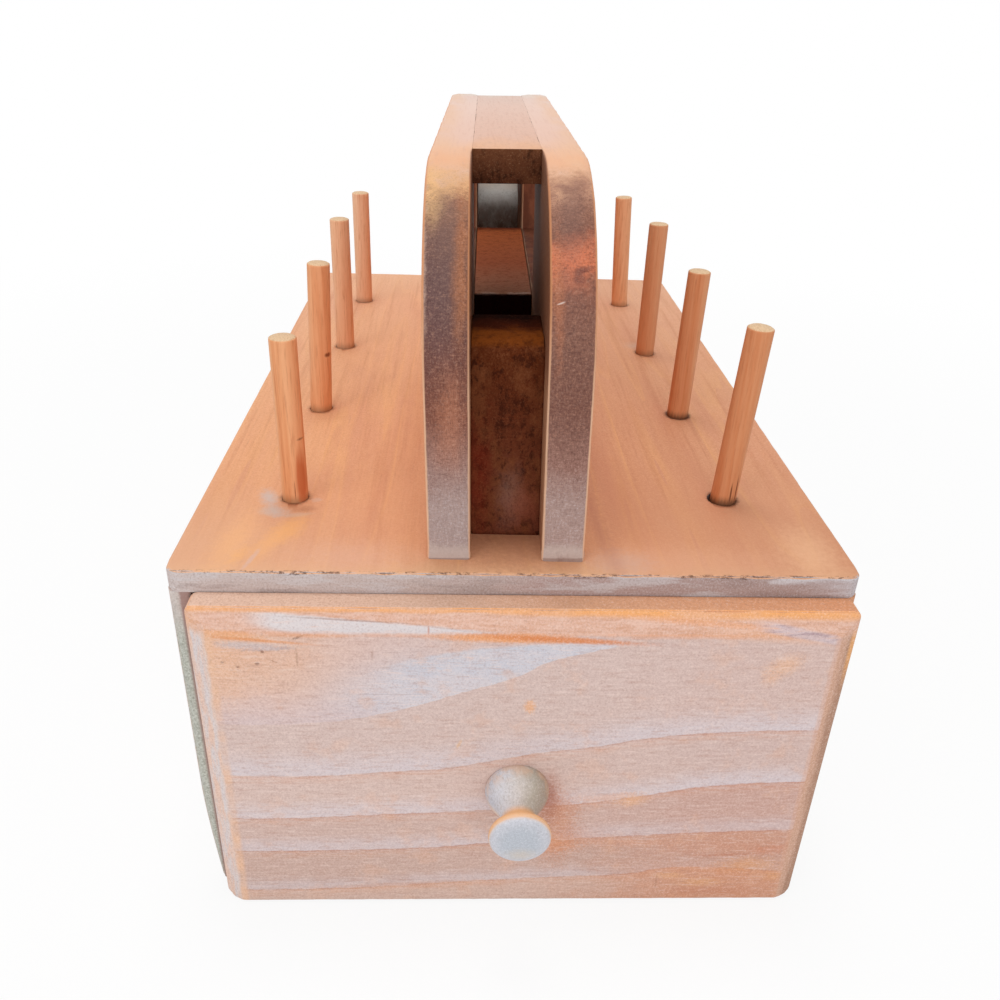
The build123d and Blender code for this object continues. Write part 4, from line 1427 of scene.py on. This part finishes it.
def pegMaterial(values):
    surface = Surface("pegStain")
    x, y, z = surface.spot
    grain = woodGrain(surface, "z", 4, 3)
    up = z - topHeight
    fine = surface.speckle(1.6, 4, 0.7, (1, 1, 0.05))
    streak = surface.speckle(0.4, 3, 0.6, (1, 1, 0.02), (8, 3, 0))
    colour = blend(fade(streak, 0.38, 0.62), values["woodPale"], values["wood"])
    onRight = fade(x, -1, 1)
    farShare = mixValue(onRight, 0.8, 0.2)
    colour = blend(fade(y, -70, 80) * farShare, colour, values["far"])
    colour = blend(onRight * fade(y, 110, 40) * 0.45, colour, values["nearRight"])
    colour = blend(fade(fine, 0.48, 0.7) * 0.45, colour, values["woodDark"])
    colour = blend(fade(streak, 0.6, 0.72) * 0.35, colour, (190, 106, 62))
    colour = blend(grain["pores"] * 0.3, colour, (150, 86, 56))
    # Darker at the foot: partly grime and glue, partly painted shade where the peg meets the top, more on the
    # near right pegs
    base = fade(up + fine * 4, 5.4, 1.8)
    dirtAndShade = 0.4 + fade(x, 0, 1) * fade(y, 0, -20) * 0.4
    colour = blend(base * dirtAndShade, colour, values["footGrimeAndShade"])
    for spot, size, shade in values["marks"]:
        centred = stretched(surface.place, tuple((1 / part for part in size)),
            tuple((-c / part for c, part in zip(spot, size))))
        away = made(surface.tree, "ShaderNodeVectorMath", {0: centred}, "Value", operation="LENGTH")
        colour = blend(fade(away + fine, 1.9, 1.1) * 0.85, colour, shade)
    cut = fade(surface.facingZ, 0.5, 0.85)
    grit = surface.speckle(2.4, 3, 0.8)
    cutWood = blend(fade(grit, 0.45, 0.7), values["endGrain"], (190, 150, 112))
    colour = blend(cut, colour, cutWood)
    height = fine + grit * 0.4
    return surface.finish(colour, 0.6, height, 0.14)


def makePegs():
    tree = pegTree()
    material = pegMaterial(peg)
    depth = peg["depth"] * mm
    for number, name in enumerate(pegNames):
        foot, axis = pegLine(name)
        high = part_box(name)[1]
        tall = (high[2] - caseTop - peg["radius"] * mm * sqrt(max(0, 1 - axis.z ** 2))) / axis.z
        lean = Vector((0, 0, 1)).rotation_difference(axis).to_euler()
        piece = grown(name.replace("spool_peg_", "spoolPeg_"), tree, {
            "Radius": peg["radius"] * mm, "Length": tall + depth, "Ease": peg["ease"] * mm, "Sides": peg["sides"],
            "Roughness": peg["roughness"] * mm, "Seed": 3.7 * number, "Foot": foot - axis * depth, "Lean": lean,
            "Material": material,
        })
        piece.data.shade_smooth()
        piece.data.set_sharp_from_angle(angle=radians(50))
        dress(piece, name, "case", "peg_dowel", material)
    print("pegs done")


# Brads, set from one node tree at the points where they were driven

brads = {
    "headRadius": 1.4,
    "headHeight": 0.8,
    "shankRadius": 0.7,
    "length": 20.0,
    "proud": 0.12,
    "alongPitch": 80.0,
    "upPitch": 35.0,
    "sides": 20,
}


def bradTree():
    # A brad at each of the mesh's points, its head facing the way that the point's normal does
    tree, given = openTree("bradTree", {
        "Points": "Geometry", "Head Radius": "Float", "Head Height": "Float", "Shank Radius": "Float",
        "Length": "Float", "Sides": "Int", "Seed": "Int", "Material": "Material",
    })
    wide, tall, length = given["Head Radius"], given["Head Height"], given["Length"]

    def stub(shape, sizes, drop):
        # One round part of the brad, with its foot or its middle moved down
        solid = made(tree, "GeometryNodeMesh" + shape, {"Vertices": given["Sides"], **sizes}, "Mesh")
        down = made(tree, "ShaderNodeCombineXYZ", {"Z": drop})
        return made(tree, "GeometryNodeTransform", {"Geometry": solid, "Translation": down})

    sizes = {"Radius Top": wide * 0.78, "Radius Bottom": wide, "Depth": tall * 0.35}
    dome = stub("Cone", sizes, tall * -0.35)
    rim = stub("Cylinder", {"Radius": wide, "Depth": tall * 0.65}, tall * -0.675)
    shank = stub("Cylinder", {"Radius": given["Shank Radius"], "Depth": length}, length * -0.5)
    whole = tree.nodes.new("GeometryNodeJoinGeometry")
    for part in (dome, rim, shank):
        tree.links.new(part.socket, whole.inputs[0])
    named = {"Name": "driven"}
    normal = made(tree, "GeometryNodeInputNamedAttribute", named, "Attribute", data_type="FLOAT_VECTOR")
    facing = made(tree, "FunctionNodeAlignRotationToVector", {"Vector": normal}, axis="Z")
    inputs = {"Seed": given["Seed"], 2: 0.0, 3: 6.28}
    spin = made(tree, "FunctionNodeRandomValue", inputs, 1, data_type="FLOAT")
    turn = made(tree, "FunctionNodeAxisAngleToRotation", {"Axis": (0, 0, 1), "Angle": spin})
    inputs = {"Rotation": facing, "Rotate By": turn}
    rotated = made(tree, "FunctionNodeRotateRotation", inputs, rotation_space="LOCAL")
    inputs = {"Points": given["Points"], "Instance": Signal(whole.outputs[0]), "Rotation": rotated}
    return closeTree(tree, made(tree, "GeometryNodeInstanceOnPoints", inputs), given["Material"])


def makeBrads(steel):
    tree = bradTree()
    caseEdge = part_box("left_side_panel")[0][0]
    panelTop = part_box("left_side_panel")[1][2]
    backLow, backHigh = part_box("back_panel")
    bottomLow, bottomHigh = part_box("bottom_board")
    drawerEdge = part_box("drawer_left_side")[0][0]
    backBoardLow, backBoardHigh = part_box("drawer_back")
    up = [(step - 1) * brads["upPitch"] * mm for step in range(3)]
    along = [(step - 1.5) * brads["alongPitch"] * mm for step in range(4)]
    casePlaces = [(y, (bottomLow[2] + bottomHigh[2]) / 2) for y in along]
    casePlaces += [((backLow[1] + backHigh[1]) / 2, panelTop / 2 + rise) for rise in up]
    middle = (backBoardLow[2] + backBoardHigh[2]) / 2
    drawerPlaces = [((backBoardLow[1] + backBoardHigh[1]) / 2, middle + rise) for rise in up]
    for body, edge, places in (("case", caseEdge, casePlaces), ("drawer", drawerEdge, drawerPlaces)):
        name = body + "Brads"
        spots, ways = [], []
        for side in (-1, 1):
            for y, z in places:
                spots.append((side * (abs(edge) + brads["proud"] * mm), y, z))
                ways += (side, 0, 0)
        mesh = bpy.data.meshes.new(name)
        mesh.from_pydata(spots, [], [])
        driven = mesh.attributes.new("driven", "FLOAT_VECTOR", "POINT")
        driven.data.foreach_set("vector", np.array(ways, dtype=float))
        piece = grown(name, tree, {
            "Head Radius": brads["headRadius"] * mm, "Head Height": brads["headHeight"] * mm,
            "Shank Radius": brads["shankRadius"] * mm, "Length": brads["length"] * mm, "Sides": brads["sides"],
            "Seed": 5, "Material": steel,
        }, mesh)
        dress(piece, body + "_brads", body, "bright_steel", steel)
    print("brads done")


# Plain pieces that keep their solid's shape: the drawer's box, the bottom and the steel

bareWood = {"pale": (230, 196, 156), "warm": (214, 172, 128), "fibre": (188, 142, 100)}


def bareWoodMaterial(name, along, seed):
    surface = Surface(name)
    grain = woodGrain(surface, along, seed, 6)
    colour = blend(fade(grain["blotch"], 0.35, 0.65), bareWood["pale"], bareWood["warm"])
    colour = blend(grain["lateWood"] * 0.45, colour, bareWood["fibre"])
    colour = blend(fade(grain["fibre"], 0.45, 0.7) * 0.3, colour, bareWood["fibre"])
    colour = blend(grain["pores"] * 0.4, colour, (140, 100, 64))
    return surface.finish(colour, 0.7, grain["fibre"], 0.1)


def steelMaterial():
    surface = Surface("brightSteel")
    grit = surface.speckle(3.0, 3, 0.6)
    colour = blend(fade(grit, 0.45, 0.7), (196, 194, 190), (150, 146, 140))
    return surface.close({"Base Color": colour, "Metallic": 1.0, "Roughness": 0.28 + grit * 0.25})


def finishPlainPieces():
    woods = {
        "bottom_board": ("y", 11), "drawer_left_side": ("y", 12), "drawer_right_side": ("y", 13),
        "drawer_back": ("x", 14), "drawer_bottom": ("x", 15),
    }
    for node, (along, seed) in woods.items():
        coat(node, bareWoodMaterial("bare_" + node, along, seed))
    steel = steelMaterial()
    for node in ("knob_screw", "handle_screws"):
        coat(node, steel)
    print("plain pieces done")
    makeBrads(steel)


def coat(node, material):
    piece = frame["nodes"][node]
    piece.data.materials.clear()
    piece.data.materials.append(material)


# Floor and light

studio = {
    "floorSize": 30.0,
    "floorShade": 0.9,
    "worldStrength": 0.58,
    "keyPower": 4.5,
    "fillPower": 7.2,
    "overheadPower": 6.5,
    "target": (0, 0, 0.08),
}


def makeStudio():
    size = studio["floorSize"]
    corners = [(-size, -size, 0), (size, -size, 0), (size, size, 0), (-size, size, 0)]
    floor = meshObject("floor", corners, [(0, 1, 2, 3)], False)
    material = bpy.data.materials.new("paper")
    tree = clearTree(material)
    shade = studio["floorShade"]
    paper = made(tree, "ShaderNodeBsdfDiffuse", {"Color": (shade, shade, shade, 1)})
    glow = made(tree, "ShaderNodeEmission", {"Color": (1, 1, 1, 1), "Strength": 1.0})
    place = made(tree, "ShaderNodeTexCoord", None, "Object")
    away = made(tree, "ShaderNodeVectorMath", {0: place}, "Value", operation="LENGTH")
    camera = made(tree, "ShaderNodeLightPath", None, "Is Camera Ray")
    seen = camera * mixValue(fade(away, 0.25, 0.8), 0.88, 1.0)
    mixed = made(tree, "ShaderNodeMixShader", {0: seen, 1: paper, 2: glow})
    addNode(tree, "ShaderNodeOutputMaterial", {"Surface": mixed})
    floor.data.materials.append(material)
    world = bpy.data.worlds.new("softRoom")
    scene.world = world
    room = clearTree(world)
    rays = addNode(room, "ShaderNodeLightPath").outputs
    camera, glossy, through = (Signal(rays[f"Is {name} Ray"]) for name in ("Camera", "Glossy", "Transmission"))
    direct = calc("MAXIMUM", camera, calc("MAXIMUM", glossy, through))
    soft = made(room, "ShaderNodeBackground", {"Color": (1, 1, 1, 1), "Strength": studio["worldStrength"]})
    white = made(room, "ShaderNodeBackground", {"Color": (1, 1, 1, 1), "Strength": 1.0})
    mixed = made(room, "ShaderNodeMixShader", {0: direct, 1: soft, 2: white})
    addNode(room, "ShaderNodeOutputWorld", {"Surface": mixed})
    lamps = (
        ("keyLight", (-0.9, -0.9, 1.3), studio["keyPower"], 0.9),
        ("fillLight", (0.2, -1.7, 0.8), studio["fillPower"], 1.2),
        ("overheadLight", (-0.05, 0.14, 1.6), studio["overheadPower"], 0.45),
    )
    for name, place, power, size in lamps:
        data = bpy.data.lights.new(name, "AREA")
        data.energy = power
        data.size = size
        lamp = bpy.data.objects.new(name, data)
        scene.collection.objects.link(lamp)
        lamp.location = place
        lamp.rotation_euler = (Vector(studio["target"]) - Vector(place)).to_track_quat("-Z", "Y").to_euler()
    print("studio done")


makeCamera(cameraView)
makeCase()
makeDrawerFront()
makeKnob()
makeHandle()
makePegs()
finishPlainPieces()
makeStudio()
